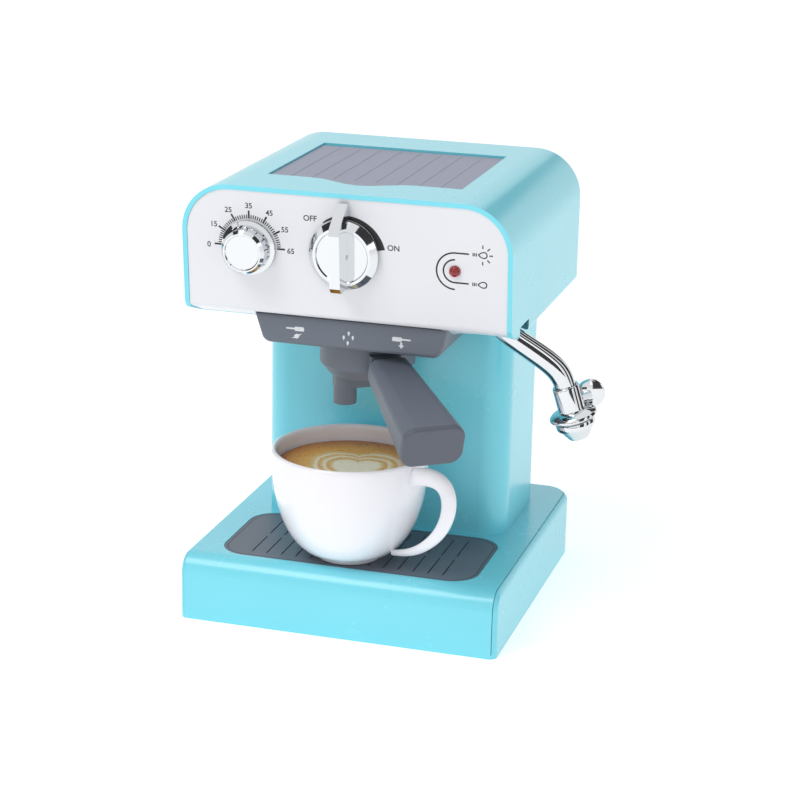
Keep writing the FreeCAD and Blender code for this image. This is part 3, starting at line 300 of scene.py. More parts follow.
# %% Coffee
COFFEE_LOW, COFFEE_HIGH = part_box("coffee_disc")
COFFEE_MIDDLE = (COFFEE_LOW + COFFEE_HIGH) / 2
COFFEE_RADIUS = (COFFEE_HIGH.x - COFFEE_LOW.x) / 2
HEART_PLACE = Vector((0.16, -0.22, 0.0)) * COFFEE_RADIUS
HEART_SIZE = 0.40 * COFFEE_RADIUS
HEART_TURN = math.radians(14)
HEART_POINT = 0.62
HEART_LIFT = 0.2
RINGS_REACH = 3.0
BEND = 6.0 * MM
BEND_SIZE = 14.0
FOAM_SIZE = 2.2
FOAM_SHOWS = 0.16
FOAM_GLOSS = 0.2
COFFEE_GLOSS = 0.2
EDGE_STARTS = 0.62
EDGE_SLOPE = 2.4
CREAM, FOAM = paint(252, 238, 212), paint(230, 190, 116)
GOLD, BROWN = paint(230, 164, 56), paint(166, 88, 18)
RING_STOPS = [(0.0, CREAM), (0.26, CREAM), (0.30, FOAM), (0.335, GOLD), (0.37, CREAM), (0.42, FOAM),
              (0.45, GOLD), (0.49, CREAM), (0.53, FOAM), (0.60, GOLD), (0.80, GOLD), (1.0, BROWN)]


def heart_rings(finish):
    """The colour of rings round a bent heart."""
    bent = finish.node("ShaderNodeVectorMath", {"operation": "MULTIPLY_ADD"},
                       {0: finish.cloudy(BEND_SIZE, 2.0).outputs["Color"], 1: (BEND,) * 3, 2: finish.place})
    middle = Vector((COFFEE_MIDDLE.x, COFFEE_MIDDLE.y, 0)) + HEART_PLACE + Vector((BEND, BEND, 0)) / 2
    turned = finish.node("ShaderNodeMapping", {"vector_type": "TEXTURE"},
                         {"Vector": bent.outputs[0], "Location": middle,
                          "Rotation": (0, 0, HEART_TURN), "Scale": (HEART_SIZE,) * 3})
    split = finish.node("ShaderNodeSeparateXYZ", None, {0: turned.outputs[0]})
    across = Wire(finish, split.outputs[0])
    away = Wire(finish, split.outputs[1])
    rise = away - finish.math("ABSOLUTE", across) ** 0.5 * HEART_POINT + HEART_LIFT
    heart = (across * across + rise * rise) ** 0.5
    return finish.node("ShaderNodeValToRGB", {"stops": RING_STOPS}, {"Fac": heart / RINGS_REACH}).outputs[0]


def coffee():
    finish = Finish("coffee_foam")
    rings = heart_rings(finish)
    radial = finish.node("ShaderNodeVectorMath", {"operation": "DISTANCE"},
                         {0: finish.place, 1: COFFEE_MIDDLE})
    past = (Wire(finish, radial.outputs["Value"]) / COFFEE_RADIUS - EDGE_STARTS) * EDGE_SLOPE
    edge = finish.math("SMOOTH_MIN", finish.math("MAXIMUM", past, 0.0), 1.0, 0.05)
    spots = finish.noise(FOAM_SIZE, 5.0)
    colour = finish.mix(edge, rings, shade(BROWN, 1.0))
    finish.vary("Base Color", finish.mix(spots * FOAM_SHOWS, colour, shade(GOLD, 0.8)))
    finish.vary("Roughness", spots * FOAM_GLOSS + COFFEE_GLOSS)
    finish.grain(spots, 0.05)
    return finish.material


finishes["coffee"] = coffee()
finishes["cap"] = plastic("cap_satin", paint(86, 92, 104), 0.44, 0.5, 0.04, 0.05)
print("finishes", len(finishes))

# %% [markdown]
# The record that comes with the moulded pieces says which finish each one has. The cap at the
# handle's end is a shade darker than the handle, so it gets a finish of its own.

# %% Dress the moulded pieces
for row in frame["record"]["subparts"]:
    piece = nodes[row["node"]]
    piece.data.materials.clear()
    piece.data.materials.append(finishes[row["material_slot"]])
nodes["handle_end_cap"].material_slots[0].material = finishes["cap"]

# %% [markdown]
# The moulded pieces are flat triangles. Shading them smooth wherever two faces meet at a shallow
# angle keeps the curved corners soft and the moulded edges crisp, and moves nothing.

# %% Smooth the shading
SMOOTH_UNDER = math.radians(32)
bpy.ops.object.select_all(action="DESELECT")
for piece in nodes.values():
    piece.select_set(True)
bpy.context.view_layer.objects.active = nodes["head_shell"]
bpy.ops.object.shade_smooth_by_angle(angle=SMOOTH_UNDER)
bpy.ops.object.select_all(action="DESELECT")
print("smoothed", len(nodes))

# %% [markdown]
# Every new piece goes the same way. It is made at the origin, moved to its place in its own mesh,
# given a material, and told which body it rides on. These helpers do that, and read where the
# moulded pieces are.

# %% Pick, place and dress
STAND_UP = Matrix(((1, 0, 0), (0, 0, 1), (0, -1, 0))).transposed().to_4x4()


def box_mm(node):
    """The lowest and the highest corner of a moulded piece, in millimetres."""
    low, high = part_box(node)
    return low / MM, high / MM


def millimetres(x, y, z):
    return Matrix.Translation(Vector((x, y, z)) * MM)


def pick(piece):
    """Select one piece alone, for the next operator."""
    bpy.ops.object.select_all(action="DESELECT")
    piece.select_set(True)
    bpy.context.view_layer.objects.active = piece


def dress(piece, place, material, body):
    """Move a finished mesh to its place, give it its material and let it ride with a body."""
    piece.data.transform(place)
    piece.data.materials.clear()
    piece.data.materials.append(material)
    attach(piece, body)
    piece.select_set(False)


def settle(piece, place, finish, body, smooth=50):
    """Dress a modelled piece in one of the finishes, shaded smooth under that many degrees."""
    dress(piece, place, finishes[finish], body)
    pick(piece)
    bpy.ops.object.shade_smooth_by_angle(angle=math.radians(smooth))
    piece.select_set(False)


# %% [markdown]
# Ink is a skin of its own, a few hundredths of a millimetre thick. A picture laid over the panel
# would blur close up, so each sign is a flat curve with closed outlines: it fills itself, an
# outline inside another is a hole, and a small extrusion gives it thickness.

# %% Ink
INK_THICK = 0.05
WEAR_SIZE = 1.6


def ink(name, colour):
    finish = Finish(name)
    worn = finish.noise(WEAR_SIZE, 4.0)
    finish.vary("Base Color", finish.mix(worn, shade(colour, 0.9), shade(colour, 1.12)))
    finish.vary("Roughness", worn * 0.2 + 0.35)
    return finish.material


black_ink = ink("black_print", paint(28, 28, 32))
pale_ink = ink("pale_print", paint(214, 217, 222))

# %% [markdown]
# The white panel leans: its face comes back as it goes down. The collar's front stands upright.
# Each has a function that gives the place of a sign on it.

# %% Places for signs
LEAN = 0.08
PANEL_LOW, PANEL_HIGH = box_mm("front_panel")
COLLAR_LOW, COLLAR_HIGH = box_mm("group_collar")


def panel_place(x, z):
    """Right, up and out of the leaning panel, with the origin on its face at x, z."""
    face = PANEL_LOW.y + (PANEL_HIGH.z - z) * LEAN
    rise = Vector((0, -LEAN, 1)).normalized()
    out = Vector((0, -1, -LEAN)).normalized()
    place = Matrix((Vector((1, 0, 0)), rise, out)).transposed().to_4x4()
    place.translation = (Vector((x, face, z)) + out * INK_THICK / 2) * MM
    return place


def collar_place(x, height):
    """On the collar's front, at that height over its lower edge."""
    return millimetres(x, COLLAR_LOW.y - INK_THICK / 2, COLLAR_LOW.z + height) @ STAND_UP


print("panel top", round(PANEL_HIGH.z, 1), "collar front", round(COLLAR_LOW.y, 1))

# %% [markdown]
# Printing a sign is two steps, outlines to a flat curve and the curve to a mesh. Words come from
# the text that Blender has built in, a little bolder than it is drawn.

# %% Printing
TEXT_SIZE = 1.38
BOLD = 0.018


def flat_curve(name, outlines):
    """Closed outlines of (x, y) points in millimetres as one filled curve."""
    curve = bpy.data.curves.new(name, "CURVE")
    curve.dimensions = "2D"
    curve.fill_mode = "BOTH"
    for outline in outlines:
        spline = curve.splines.new("POLY")
        spline.points.add(len(outline) - 1)
        for point, (x, y) in zip(spline.points, outline):
            point.co = (x * MM, y * MM, 0, 1)
        spline.use_cyclic_u = True
    return curve


def as_mesh(name, curve):
    """Put a curve in the scene and turn it into a mesh."""
    piece = bpy.data.objects.new(name, curve)
    bpy.context.collection.objects.link(piece)
    pick(piece)
    bpy.ops.object.convert(target="MESH")
    return bpy.context.object


def stamp(name, outlines, place, material=black_ink, thick=INK_THICK, body="housing"):
    """Print closed outlines, or cut a thicker plate to them."""
    curve = flat_curve(name, outlines)
    curve.extrude = thick / 2 * MM
    sign = as_mesh(name, curve)
    dress(sign, place, material, body)
    return sign


def write(name, words, height, place):
    """Print words or numbers, centred on their place."""
    bpy.ops.object.select_all(action="DESELECT")
    bpy.ops.object.text_add()
    text = bpy.context.object
    text.name = name
    text.data.body = words
    text.data.size = height * TEXT_SIZE * MM
    text.data.offset = height * BOLD * MM
    text.data.align_x = "CENTER"
    text.data.align_y = "CENTER"
    text.data.extrude = INK_THICK / 2 * MM
    bpy.ops.object.convert(target="MESH")
    dress(bpy.context.object, place, black_ink, "housing")


# %% [markdown]
# All the signs are made of a few shapes: points round a circle, a band along an arc, and a
# straight bar. Each function gives a closed outline, as points in order.

# %% Outlines
def round_the(degrees, radius):
    return radius * math.cos(math.radians(degrees)), radius * math.sin(math.radians(degrees))


def steps(start, stop, count):
    return [start + (stop - start) * i / count for i in range(count + 1)]


def spread(count, pitch):
    """Places that far apart, centred on nought."""
    return [pitch * (number - (count - 1) / 2) for number in range(count)]


def band(start, stop, inner, outer, count=40):
    """An arc band. inner and outer give the radius at a share of the way along it."""
    rims = []
    for radius in (inner, outer):
        rims.append([round_the(start + (stop - start) * share, radius(share))
                     for share in steps(0, 1, count)])
    return rims[0] + rims[1][::-1]


def bar(x0, y0, x1, y1, width):
    along = Vector((x1 - x0, y1 - y0)).normalized() * (width / 2)
    side = Vector((-along.y, along.x))
    return [(x0 + side.x, y0 + side.y), (x0 - side.x, y0 - side.y),
            (x1 - side.x, y1 - side.y), (x1 + side.x, y1 + side.y)]


def moved(outline, x, y):
    return [(a + x, b + y) for a, b in outline]


# %% [markdown]
# The timer's scale has seven long marks, 30 degrees apart, each with a number, and fine marks
# between them. It starts at nine o'clock and runs over the top.

# %% Timer scale
TIMER = pivots["timer_turn"]
LABELS = ["0", "15", "25", "35", "45", "55", "65"]
LABEL_TURN = 30
FINE_STEPS = 7
MARKS_FROM = 15.0
LONG_MARK = (19.2, 0.95)
FINE_MARK = (17.0, 0.56)
NUMBER_RADIUS = 22.3
NUMBER_HEIGHT = 2.9
NUMBER_DROP = 0.7


def timer_marks():
    """A bar for each mark. A mark is (where it ends, its width)."""
    marks = []
    for number in range((len(LABELS) - 1) * FINE_STEPS + 1):
        angle = 180 - number * LABEL_TURN / FINE_STEPS
        reach, width = FINE_MARK if number % FINE_STEPS else LONG_MARK
        marks.append(bar(*round_the(angle, MARKS_FROM), *round_the(angle, reach), width))
    return marks


stamp("timer_scale", timer_marks(), panel_place(TIMER.x, TIMER.z))
for number, words in enumerate(LABELS):
    x, z = round_the(180 - LABEL_TURN * number, NUMBER_RADIUS)
    place = panel_place(TIMER.x + x, TIMER.z + z - NUMBER_DROP)
    write("timer_number_" + words, words, NUMBER_HEIGHT, place)
print("timer marks", len(timer_marks()))

# %% [markdown]
# The selector has an arc that thickens from OFF to ON, as heat grows. Its outer edge is a formula,
# and the two words stand where the arc ends.

# %% Selector arc and words
SELECTOR = pivots["selector_turn"]
ARC_OFF, ARC_ON = 124, 11
ARC_INNER = 18.8
ARC_THIN = 0.6
ARC_GROWTH = 3.1
ARC_SHIFT = (-0.8, -0.4)
WORD_HEIGHT = 3.0
WORDS = {"OFF": (-18.4, 17.1), "ON": (25.8, 5.1)}


def arc_inner(share):
    return ARC_INNER


def arc_outer(share):
    return ARC_INNER + ARC_THIN + ARC_GROWTH * share ** 0.75


stamp("selector_arc", [band(ARC_OFF, ARC_ON, arc_inner, arc_outer)],
      panel_place(SELECTOR.x + ARC_SHIFT[0], SELECTOR.z + ARC_SHIFT[1]))
for words, (x, z) in WORDS.items():
    write("word_" + words.lower(), words, WORD_HEIGHT, panel_place(SELECTOR.x + x, SELECTOR.z + z))
print("arc turns", ARC_OFF - ARC_ON, "degrees")

# %% [markdown]
# Round the lamp two open loops lead to two bulbs, one lit and one not. Each loop is half a ring
# with a straight tail. A bulb is a drop on its side with a hole in it, and three bars for its cap.

# %% Lamp signs
LENS_LOW, LENS_HIGH = box_mm("lamp_lens")
LAMP_X = (LENS_LOW.x + LENS_HIGH.x) / 2
LAMP_UNDER_TIMER = 3.3
LINE = 0.82
OUTER_LOOP = 9.6
INNER_LOOP = 6.0
TAIL_END = 7.2
DROP_TIP = 0.34
DROP_FULL = 0.7
BULB_X = 14.3
BULB = (5.0, 4.6)
BULB_HOLE = (3.6, 3.2)
BULB_HOLE_SHIFT = 0.1
CAP_FROM = 3.3
CAP_PITCH = 0.85
CAP_HALF = 0.85
CAP_LINE = 0.52
LIT_RAYS = 5
RAY_FROM, RAY_TO = 3.4, 5.2
RAY_LINE = 0.6


def loop(radius, side):
    """Half a ring, open to the right, with a tail at its top (side 1) or its bottom (side -1)."""
    half_ring = band(90, 270, lambda share: radius - LINE / 2, lambda share: radius + LINE / 2)
    x, y = round_the(90 * side, radius)
    return [half_ring, bar(x, y, TAIL_END, radius * side, LINE)]


def drop(length, width, count=36):
    """A drop with its tip to the left."""
    outline = []
    for number in range(count):
        turn = 2 * math.pi * number / count
        fullness = DROP_TIP + (1 - DROP_TIP) * (0.5 + 0.5 * math.cos(turn)) ** DROP_FULL
        outline.append((length / 2 * math.cos(turn), width / 2 * math.sin(turn) * fullness))
    return outline


def bulb(x, y, rays):
    signs = [moved(drop(*BULB), x, y), moved(drop(*BULB_HOLE), x + BULB_HOLE_SHIFT, y)]
    for step in range(3):
        left = x - CAP_FROM - step * CAP_PITCH
        signs.append(bar(left, y - CAP_HALF, left, y + CAP_HALF, CAP_LINE))
    for number in range(rays):
        angle = -90 + 180 * number / (rays - 1)
        near, far = round_the(angle, RAY_FROM), round_the(angle, RAY_TO)
        signs.append(bar(x + near[0], y + near[1], x + far[0], y + far[1], RAY_LINE))
    return signs


lamp_place = panel_place(LAMP_X, TIMER.z - LAMP_UNDER_TIMER)
stamp("lamp_loop_outer", loop(OUTER_LOOP, 1), lamp_place)
stamp("lamp_loop_inner", loop(INNER_LOOP, -1), lamp_place)
stamp("bulb_lit", bulb(BULB_X, OUTER_LOOP, LIT_RAYS), lamp_place)
stamp("bulb_dark", bulb(BULB_X, -INNER_LOOP, 0), lamp_place)
print("lamp", round(LAMP_X, 1), "mm to the right")

# %% [markdown]
# On the collar three pale signs show how the portafilter is used: put in, coffee runs, take out.
# Each row below holds where a sign stands, across and over the collar's edge, and its outlines.

# %% Collar signs
HANDLE = [(-5.0, 0.4), (-0.4, 0.45), (0.0, 1.1), (4.4, 1.1), (4.9, 0.6),
          (4.9, -0.9), (4.4, -1.2), (0.0, -1.2), (-0.4, -0.45), (-5.0, -0.4)]
ARROW = [(-0.55, -1.5), (0.55, -1.5), (0.55, -3.1), (1.6, -3.1), (0, -4.9), (-1.6, -3.1), (-0.55, -3.1)]
SWIRL = [(-2.4, -4.9), (-0.6, -4.1), (-0.4, -3.0), (0.8, -2.2), (1.9, -2.5),
         (4.0, -2.0), (2.3, -3.1), (2.0, -4.2), (0.9, -4.9), (-0.2, -4.6)]
FALLING = [(-2.5, -0.2), (0.2, 2.2), (2.4, 0.1), (-0.3, -3.0)]
SMALL_DROP = (2.4, 1.5)


def small_drop(x, y):
    return [(x + across, y + along) for along, across in drop(*SMALL_DROP, count=20)]


SIGNS = {
    "sign_put_in": (-28.6, 9.0, [HANDLE]),
    "sign_put_in_swirl": (-28.6, 8.6, [SWIRL]),
    "sign_coffee": (0.4, 6.9, [small_drop(x, y) for x, y in FALLING]),
    "sign_take_out": (28.9, 8.8, [[(-x, y) for x, y in HANDLE], ARROW]),
}
for name, (x, height, outlines) in SIGNS.items():
    stamp(name, outlines, collar_place(x, height), pale_ink)
print("collar signs", len(SIGNS))

# %% [markdown]
# The collar's edge is softer than a cut block: its outline, seen from the front, has two round
# lower corners and sides that slope outwards. The two sides differ, so it is drawn as an outline,
# with arcs for its corners, and not as a block whose edges are bevelled.

# %% Collar outline
CORNER = 5.2
CORNER_STEPS = 8
FOOT_LEFT, FOOT_RIGHT = -42.6, 45.2
TURN_LEFT, TURN_RIGHT = 1.32, 1.40
TOP_LEFT, TOP_RIGHT = -51.8, 53.6


def corner(x, side, turn):
    """A lower corner, from the flat underside up to where the side starts. turn is in radians."""
    return [(x + side * CORNER * math.sin(t), CORNER - CORNER * math.cos(t))
            for t in steps(0, turn, CORNER_STEPS)]


def collar_outline():
    tall = COLLAR_HIGH.z - COLLAR_LOW.z
    left = corner(FOOT_LEFT, -1, TURN_LEFT)
    return [(TOP_LEFT, tall), *left[::-1], *corner(FOOT_RIGHT, 1, TURN_RIGHT), (TOP_RIGHT, tall)]


print("collar", TOP_RIGHT - TOP_LEFT, "mm wide at its top, points", len(collar_outline()))

# %% [markdown]
# A curve's own bevel gives the outline depth with soft front and back edges. Its faces come apart
# at the seams, so they are welded. A drill then opens the collar for the portafilter.

# %% Collar
SIDES = 96
COLLAR_SOFT = 2.6
BORE_RADIUS = 29.0
BORE_DEEP = 11.8
DRILL_UNDER = 2.0
GROUP = pivots["portafilter_turn"]


def moulded(name, outline, deep, soft):
    """Give a flat outline depth, with soft edges, as one welded mesh."""
    curve = flat_curve(name, [outline])
    curve.extrude = (deep / 2 - soft) * MM
    curve.bevel_depth = soft * MM
    curve.bevel_resolution = 5
    curve.offset = -soft * MM
    piece = as_mesh(name, curve)
    bpy.ops.object.mode_set(mode="EDIT")
    bpy.ops.mesh.select_all(action="SELECT")
    bpy.ops.mesh.remove_doubles(threshold=0.01 * MM)
    bpy.ops.mesh.normals_make_consistent(inside=False)
    bpy.ops.object.mode_set(mode="OBJECT")
    return piece


def drill(piece, x, y, low, deep, radius):
    """Open a round hole from below, up to deep over low."""
    bpy.ops.object.select_all(action="DESELECT")
    middle = Vector((x, y, low + (deep - DRILL_UNDER) / 2)) * MM
    bpy.ops.mesh.primitive_cylinder_add(vertices=SIDES, radius=radius * MM, depth=(deep + DRILL_UNDER) * MM,
                                        location=middle)
    tool = bpy.context.object
    pick(piece)
    hole = piece.modifiers.new("hole", "BOOLEAN")
    hole.object = tool
    hole.operation = "DIFFERENCE"
    bpy.ops.object.modifier_apply(modifier="hole")
    bpy.data.objects.remove(tool)


collar_deep = COLLAR_HIGH.y - COLLAR_LOW.y
collar = moulded("collar_moulded", collar_outline(), collar_deep, COLLAR_SOFT)
collar.data.transform(millimetres(0, COLLAR_LOW.y + collar_deep / 2, COLLAR_LOW.z) @ STAND_UP)
drill(collar, GROUP.x, GROUP.y, COLLAR_LOW.z, BORE_DEEP, BORE_RADIUS)
settle(collar, Matrix.Identity(4), "dark_grey", "housing", smooth=40)
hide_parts("group_collar")
print("collar faces", len(collar.data.polygons))

# %% [markdown]
# The drip grille is finer in life than a mould for a simulator needs. Drilling each slot would be
# slow, so the plate is one flat curve: its round corners outside, two rows of thin slots as holes.

# %% Drip grille
GRILLE_LOW, GRILLE_HIGH = box_mm("drip_grille")
GRILLE_MIDDLE = (GRILLE_LOW + GRILLE_HIGH) / 2
GRILLE_CORNER = 13.1
SLOT_PITCH = 8.2
SLOT_COLUMNS = 14
SLOT_WIDE = 0.7
SLOT_LONG = 24.0
SLOT_GAP = 2.5


def round_box(low, high, radius, count=10):
    """A rectangle with round corners."""
    left, right = low.x + radius, high.x - radius
    front, rear = low.y + radius, high.y - radius
    points = []
    for turn, (x, y) in enumerate(((right, rear), (left, rear), (left, front), (right, front))):
        points += moved([round_the(90 * (turn + share), radius) for share in steps(0, 1, count)], x, y)
    return points


plate = [round_box(GRILLE_LOW, GRILLE_HIGH, GRILLE_CORNER)]
for x in spread(SLOT_COLUMNS, SLOT_PITCH):
    for front in (GRILLE_MIDDLE.y - SLOT_LONG - SLOT_GAP, GRILLE_MIDDLE.y + SLOT_GAP):
        plate.append(bar(x, front, x, front + SLOT_LONG, SLOT_WIDE))
grille = stamp("grille_plate", plate, millimetres(0, 0, GRILLE_MIDDLE.z), finishes["dark_grey"],
               GRILLE_HIGH.z - GRILLE_LOW.z)
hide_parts("drip_grille")
print("slots", len(plate) - 1)

# %% [markdown]
# The lid's grooves are shallow in life. Thin strips laid in the moulded grooves leave only a
# little of their depth, and ride with the lid when it opens.

# %% Lid strips
LID_LOW, LID_HIGH = box_mm("tank_lid")
LID_EDGE = 3.0
LID_RIBS = 8
GROOVE_DEEP = 0.5
STRIP_THICK = 0.36
STRIP_WIDE = 0.94
STRIP_LIFT = 0.01
STRIP_FRONT, STRIP_REAR = -46.9, 36.9
rib_pitch = (LID_HIGH.x - LID_LOW.x - 2 * LID_EDGE) / (LID_RIBS + 1)
strips = [bar(x, STRIP_FRONT, x, STRIP_REAR, STRIP_WIDE) for x in spread(LID_RIBS, rib_pitch)]
strip_middle = LID_HIGH.z - GROOVE_DEEP + STRIP_THICK / 2 + STRIP_LIFT
stamp("lid_strips", strips, millimetres(0, 0, strip_middle), finishes["slate_grey"],
      STRIP_THICK, "lid")
print("rib pitch", round(rib_pitch, 1))

# %% [markdown]
# The cup is turned, so it starts as a ring and is pulled up ring by ring, each scaled to the
# radius of the real side: quick to swell above the foot, then almost upright. The same rings go
# down the inside, a wall's thickness in, and the last one is closed. Spinning a profile would give
# the same shape, but here every ring's radius can be read and changed.

# %% Cup side
CUP_LOW, CUP_HIGH = box_mm("cup")
FOOT_Z, RIM_Z = CUP_LOW.z, CUP_HIGH.z
RIM_RADIUS = 41.9
FOOT_RADIUS = 18.6
FOOT_TALL = 2.0
LIP_TALL = 1.3
CUP_WALL = 2.4
CUP_FLOOR = 5.0
RING_STEPS = 22


def swell(share):
    return (1 - (1 - share) ** 2.4) ** 0.6


def cup_side():
    """Rings of (radius, height) from the foot's middle, up outside, over the rim, down inside."""
    rise = RIM_Z - FOOT_Z - FOOT_TALL - LIP_TALL
    reach = RIM_RADIUS - FOOT_RADIUS
    foot = [(FOOT_RADIUS - 4, FOOT_Z + 1.4), (FOOT_RADIUS - 3, FOOT_Z), (FOOT_RADIUS - 0.8, FOOT_Z),
            (FOOT_RADIUS - 0.2, FOOT_Z + 1.0)]
    outside = [(FOOT_RADIUS + reach * swell(share), FOOT_Z + FOOT_TALL + rise * share)
               for share in steps(0, 1, RING_STEPS)]
    rim = [(RIM_RADIUS - 0.35, RIM_Z - 0.4), (RIM_RADIUS - 1.2, RIM_Z), (RIM_RADIUS - 2.0, RIM_Z - 0.4)]
    inside = [(radius - CUP_WALL, max(z, FOOT_Z + CUP_FLOOR)) for radius, z in reversed(outside)]
    return foot + outside + rim + inside


def pull_rings(name, rings, sides):
    """Start with a closed ring and pull it through (radius, height) rings, in millimetres."""
    bpy.ops.object.select_all(action="DESELECT")
    bpy.ops.mesh.primitive_circle_add(vertices=sides, radius=rings[0][0] * MM, fill_type="NGON",
                                      location=(0, 0, rings[0][1] * MM))
    piece = bpy.context.object
    piece.name = name
    bpy.ops.object.transform_apply(location=True)
    bpy.ops.object.mode_set(mode="EDIT")
    for (radius, z), (next_radius, next_z) in zip(rings, rings[1:]):
        grow = next_radius / radius
        bpy.ops.mesh.extrude_region_move(TRANSFORM_OT_translate={"value": (0, 0, (next_z - z) * MM)})
        bpy.ops.transform.resize(value=(grow, grow, 1), center_override=(0, 0, next_z * MM))
    bpy.ops.object.mode_set(mode="OBJECT")
    return piece


cup = pull_rings("cup_side", cup_side(), SIDES)
print("cup", round(RIM_Z - FOOT_Z, 1), "mm tall, rings", len(cup_side()))

# %% [markdown]
# The first ring was filled, so its face has travelled to the inside as the floor, and the
# underside is still open: its edge ring is found, filled, and every normal made to point out.

# %% Close the cup
def open_edges(piece):
    uses = {}
    for face in piece.data.polygons:
        for key in face.edge_keys:
            uses[key] = uses.get(key, 0) + 1
    return [edge.index for edge in piece.data.edges if uses.get(edge.key, 0) == 1]


def close_up(piece):
    loose = open_edges(piece)
    for group in (piece.data.vertices, piece.data.edges, piece.data.polygons):
        group.foreach_set("select", [False] * len(group))
    for index in loose:
        piece.data.edges[index].select = True
    bpy.ops.object.mode_set(mode="EDIT")
    bpy.ops.mesh.select_mode(type="EDGE")
    if loose:
        bpy.ops.mesh.edge_face_add()
    bpy.ops.mesh.select_all(action="SELECT")
    bpy.ops.mesh.normals_make_consistent(inside=False)
    bpy.ops.object.mode_set(mode="OBJECT")
    print(piece.name, "open edges", len(loose), "then", len(open_edges(piece)))


close_up(cup)

# %% [markdown]
# The ear is a flat strap of glazed clay: wide where it leaves the rim, slimmer where it comes
# back low on the side. A curve carries an oval section and a radius at each point, which is how
# its width changes along it. A point is its distance from the cup's axis, its height over the
# foot, and its share of the full size.

# %% Cup ear
EAR = [(39.0, 50.9, 1.1), (47.0, 54.9, 1.15), (60.5, 55.9, 1.15), (66.5, 44.4, 1.05),
       (62.5, 28.4, 0.85), (51.0, 15.4, 0.62), (39.0, 8.9, 0.46), (28.8, 7.5, 0.36)]
EAR_ACROSS = 4.4
EAR_THICK = 2.3
CUP_TURN = math.radians(-20)


def drawn(name, points, thick, across):
    """Draw an oval section along (x, z, share of size) points in one upright plane."""
    bpy.ops.object.select_all(action="DESELECT")
    bpy.ops.curve.primitive_bezier_circle_add(radius=1 * MM)
    section = bpy.context.object
    section.scale = (thick, across, 1)
    bpy.ops.object.transform_apply(scale=True)
    curve = bpy.data.curves.new(name, "CURVE")
    curve.dimensions = "3D"
    curve.bevel_mode = "OBJECT"
    curve.bevel_object = section
    curve.use_fill_caps = True
    curve.resolution_u = 16
    curve.twist_mode = "MINIMUM"
    spline = curve.splines.new("NURBS")
    spline.points.add(len(points) - 1)
    for point, (x, z, share) in zip(spline.points, points):
        point.co = (x * MM, 0, z * MM, 1)
        point.radius = share
    spline.order_u = 4
    spline.use_endpoint_u = True
    piece = as_mesh(name, curve)
    bpy.data.objects.remove(section)
    close_up(piece)
    return piece


on_tray = Matrix.Translation((COFFEE_MIDDLE.x, COFFEE_MIDDLE.y, 0)) @ Matrix.Rotation(CUP_TURN, 4, "Z")
strap = drawn("cup_ear", [(x, FOOT_Z + z, share) for x, z, share in EAR], EAR_THICK, EAR_ACROSS)
settle(cup, on_tray, "cup_white", "cup")
settle(strap, on_tray, "cup_white", "cup")
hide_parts("cup")

# %% [markdown]
# The steam wand's tube is one soft S with a round section, drawn in the upright plane through the
# axis that it swings about. A point is its distance from that axis, its height over the table,
# and its share of the tube's radius.

# %% Wand tube
WAND_PIVOT = pivots["wand_swing"]
WAND_TURN = math.radians(21.4)
WAND_RADIUS = 5.6
WAND_PATH = [(0, 190, 1), (0, 184, 1), (0, 177.5, 1), (0.8, 172.0, 1), (6.4, 166.0, 1),
             (14.5, 160.4, 1.02), (24, 154, 1.08), (33.5, 147, 1.1), (37.6, 141.5, 1.08),
             (39.4, 136.6, 1.0), (40.6, 132.6, 1.0)]

wand = millimetres(WAND_PIVOT.x, WAND_PIVOT.y, 0) @ Matrix.Rotation(WAND_TURN, 4, "Z")
tube = drawn("wand_tube_drawn", WAND_PATH, WAND_RADIUS, WAND_RADIUS)
settle(tube, wand, "chrome", "wand")
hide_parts("wand_tube")

# %% [markdown]
# The sleeve, the flange and the nozzle are pulled up ring by ring like the cup, along the slanting
# end of the tube. The knob is turned too, and sits at the end of a short arm beside the sleeve.

# %% Wand end
WAND_TILT = math.radians(17)
WAND_SIDES = 64
WAND_RINGS = {
    "wand_sleeve": [(6.7, 0), (7.1, 0.5), (7.2, 1.0), (7.2, 13.5)],
    "wand_flange": [(8.0, 13.4), (10.6, 14.4), (12.4, 15.8), (12.8, 16.6), (12.8, 17.4), (12.2, 18.1),
                    (9.2, 19.4)],
    "wand_nozzle": [(9.6, 19.3), (10.3, 19.7), (10.6, 20.4), (10.6, 22.6), (10.2, 23.3), (9.2, 24.0),
                    (5.8, 29.0), (5.2, 29.7), (4.4, 30.0), (1.5, 30.0), (1.5, 24.0)],
}
KNOB_RINGS = [(6.2, 0), (7.2, 0.4), (7.6, 1.2), (7.6, 4.3), (7.2, 5.2), (6.2, 5.7), (5.2, 5.4), (2.0, 5.3)]
KNOB_AWAY = 12.5
KNOB_SIDE = 6.0
ARM_UP = 11.0
ARM_SIDE = 3.4
ARM_RADIUS = 2.4
ARM_REACHES = (4.0, 7.5, 10.0, KNOB_AWAY)


def turned(node, rings, place):
    """A chrome piece made of rings that stands for a moulded one."""
    piece = pull_rings(node + "_turned", rings, WAND_SIDES)
    close_up(piece)
    settle(piece, place, "chrome", "wand", smooth=30)
    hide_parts(node)


end_x, end_z = WAND_PATH[-2][:2]
end = wand @ millimetres(end_x, 0, end_z) @ Matrix.Rotation(math.pi - WAND_TILT, 4, "Y")
knob_seat = end @ millimetres(-KNOB_AWAY, KNOB_SIDE, ARM_UP) @ Matrix.Rotation(math.radians(-90), 4, "X")
for node, rings in WAND_RINGS.items():
    turned(node, rings, end)
turned("wand_knob", KNOB_RINGS, knob_seat)
arm = drawn("wand_arm_drawn", [(-reach, ARM_UP, 1) for reach in ARM_REACHES], ARM_RADIUS, ARM_RADIUS)
settle(arm, end @ millimetres(0, ARM_SIDE, 0), "chrome", "wand")

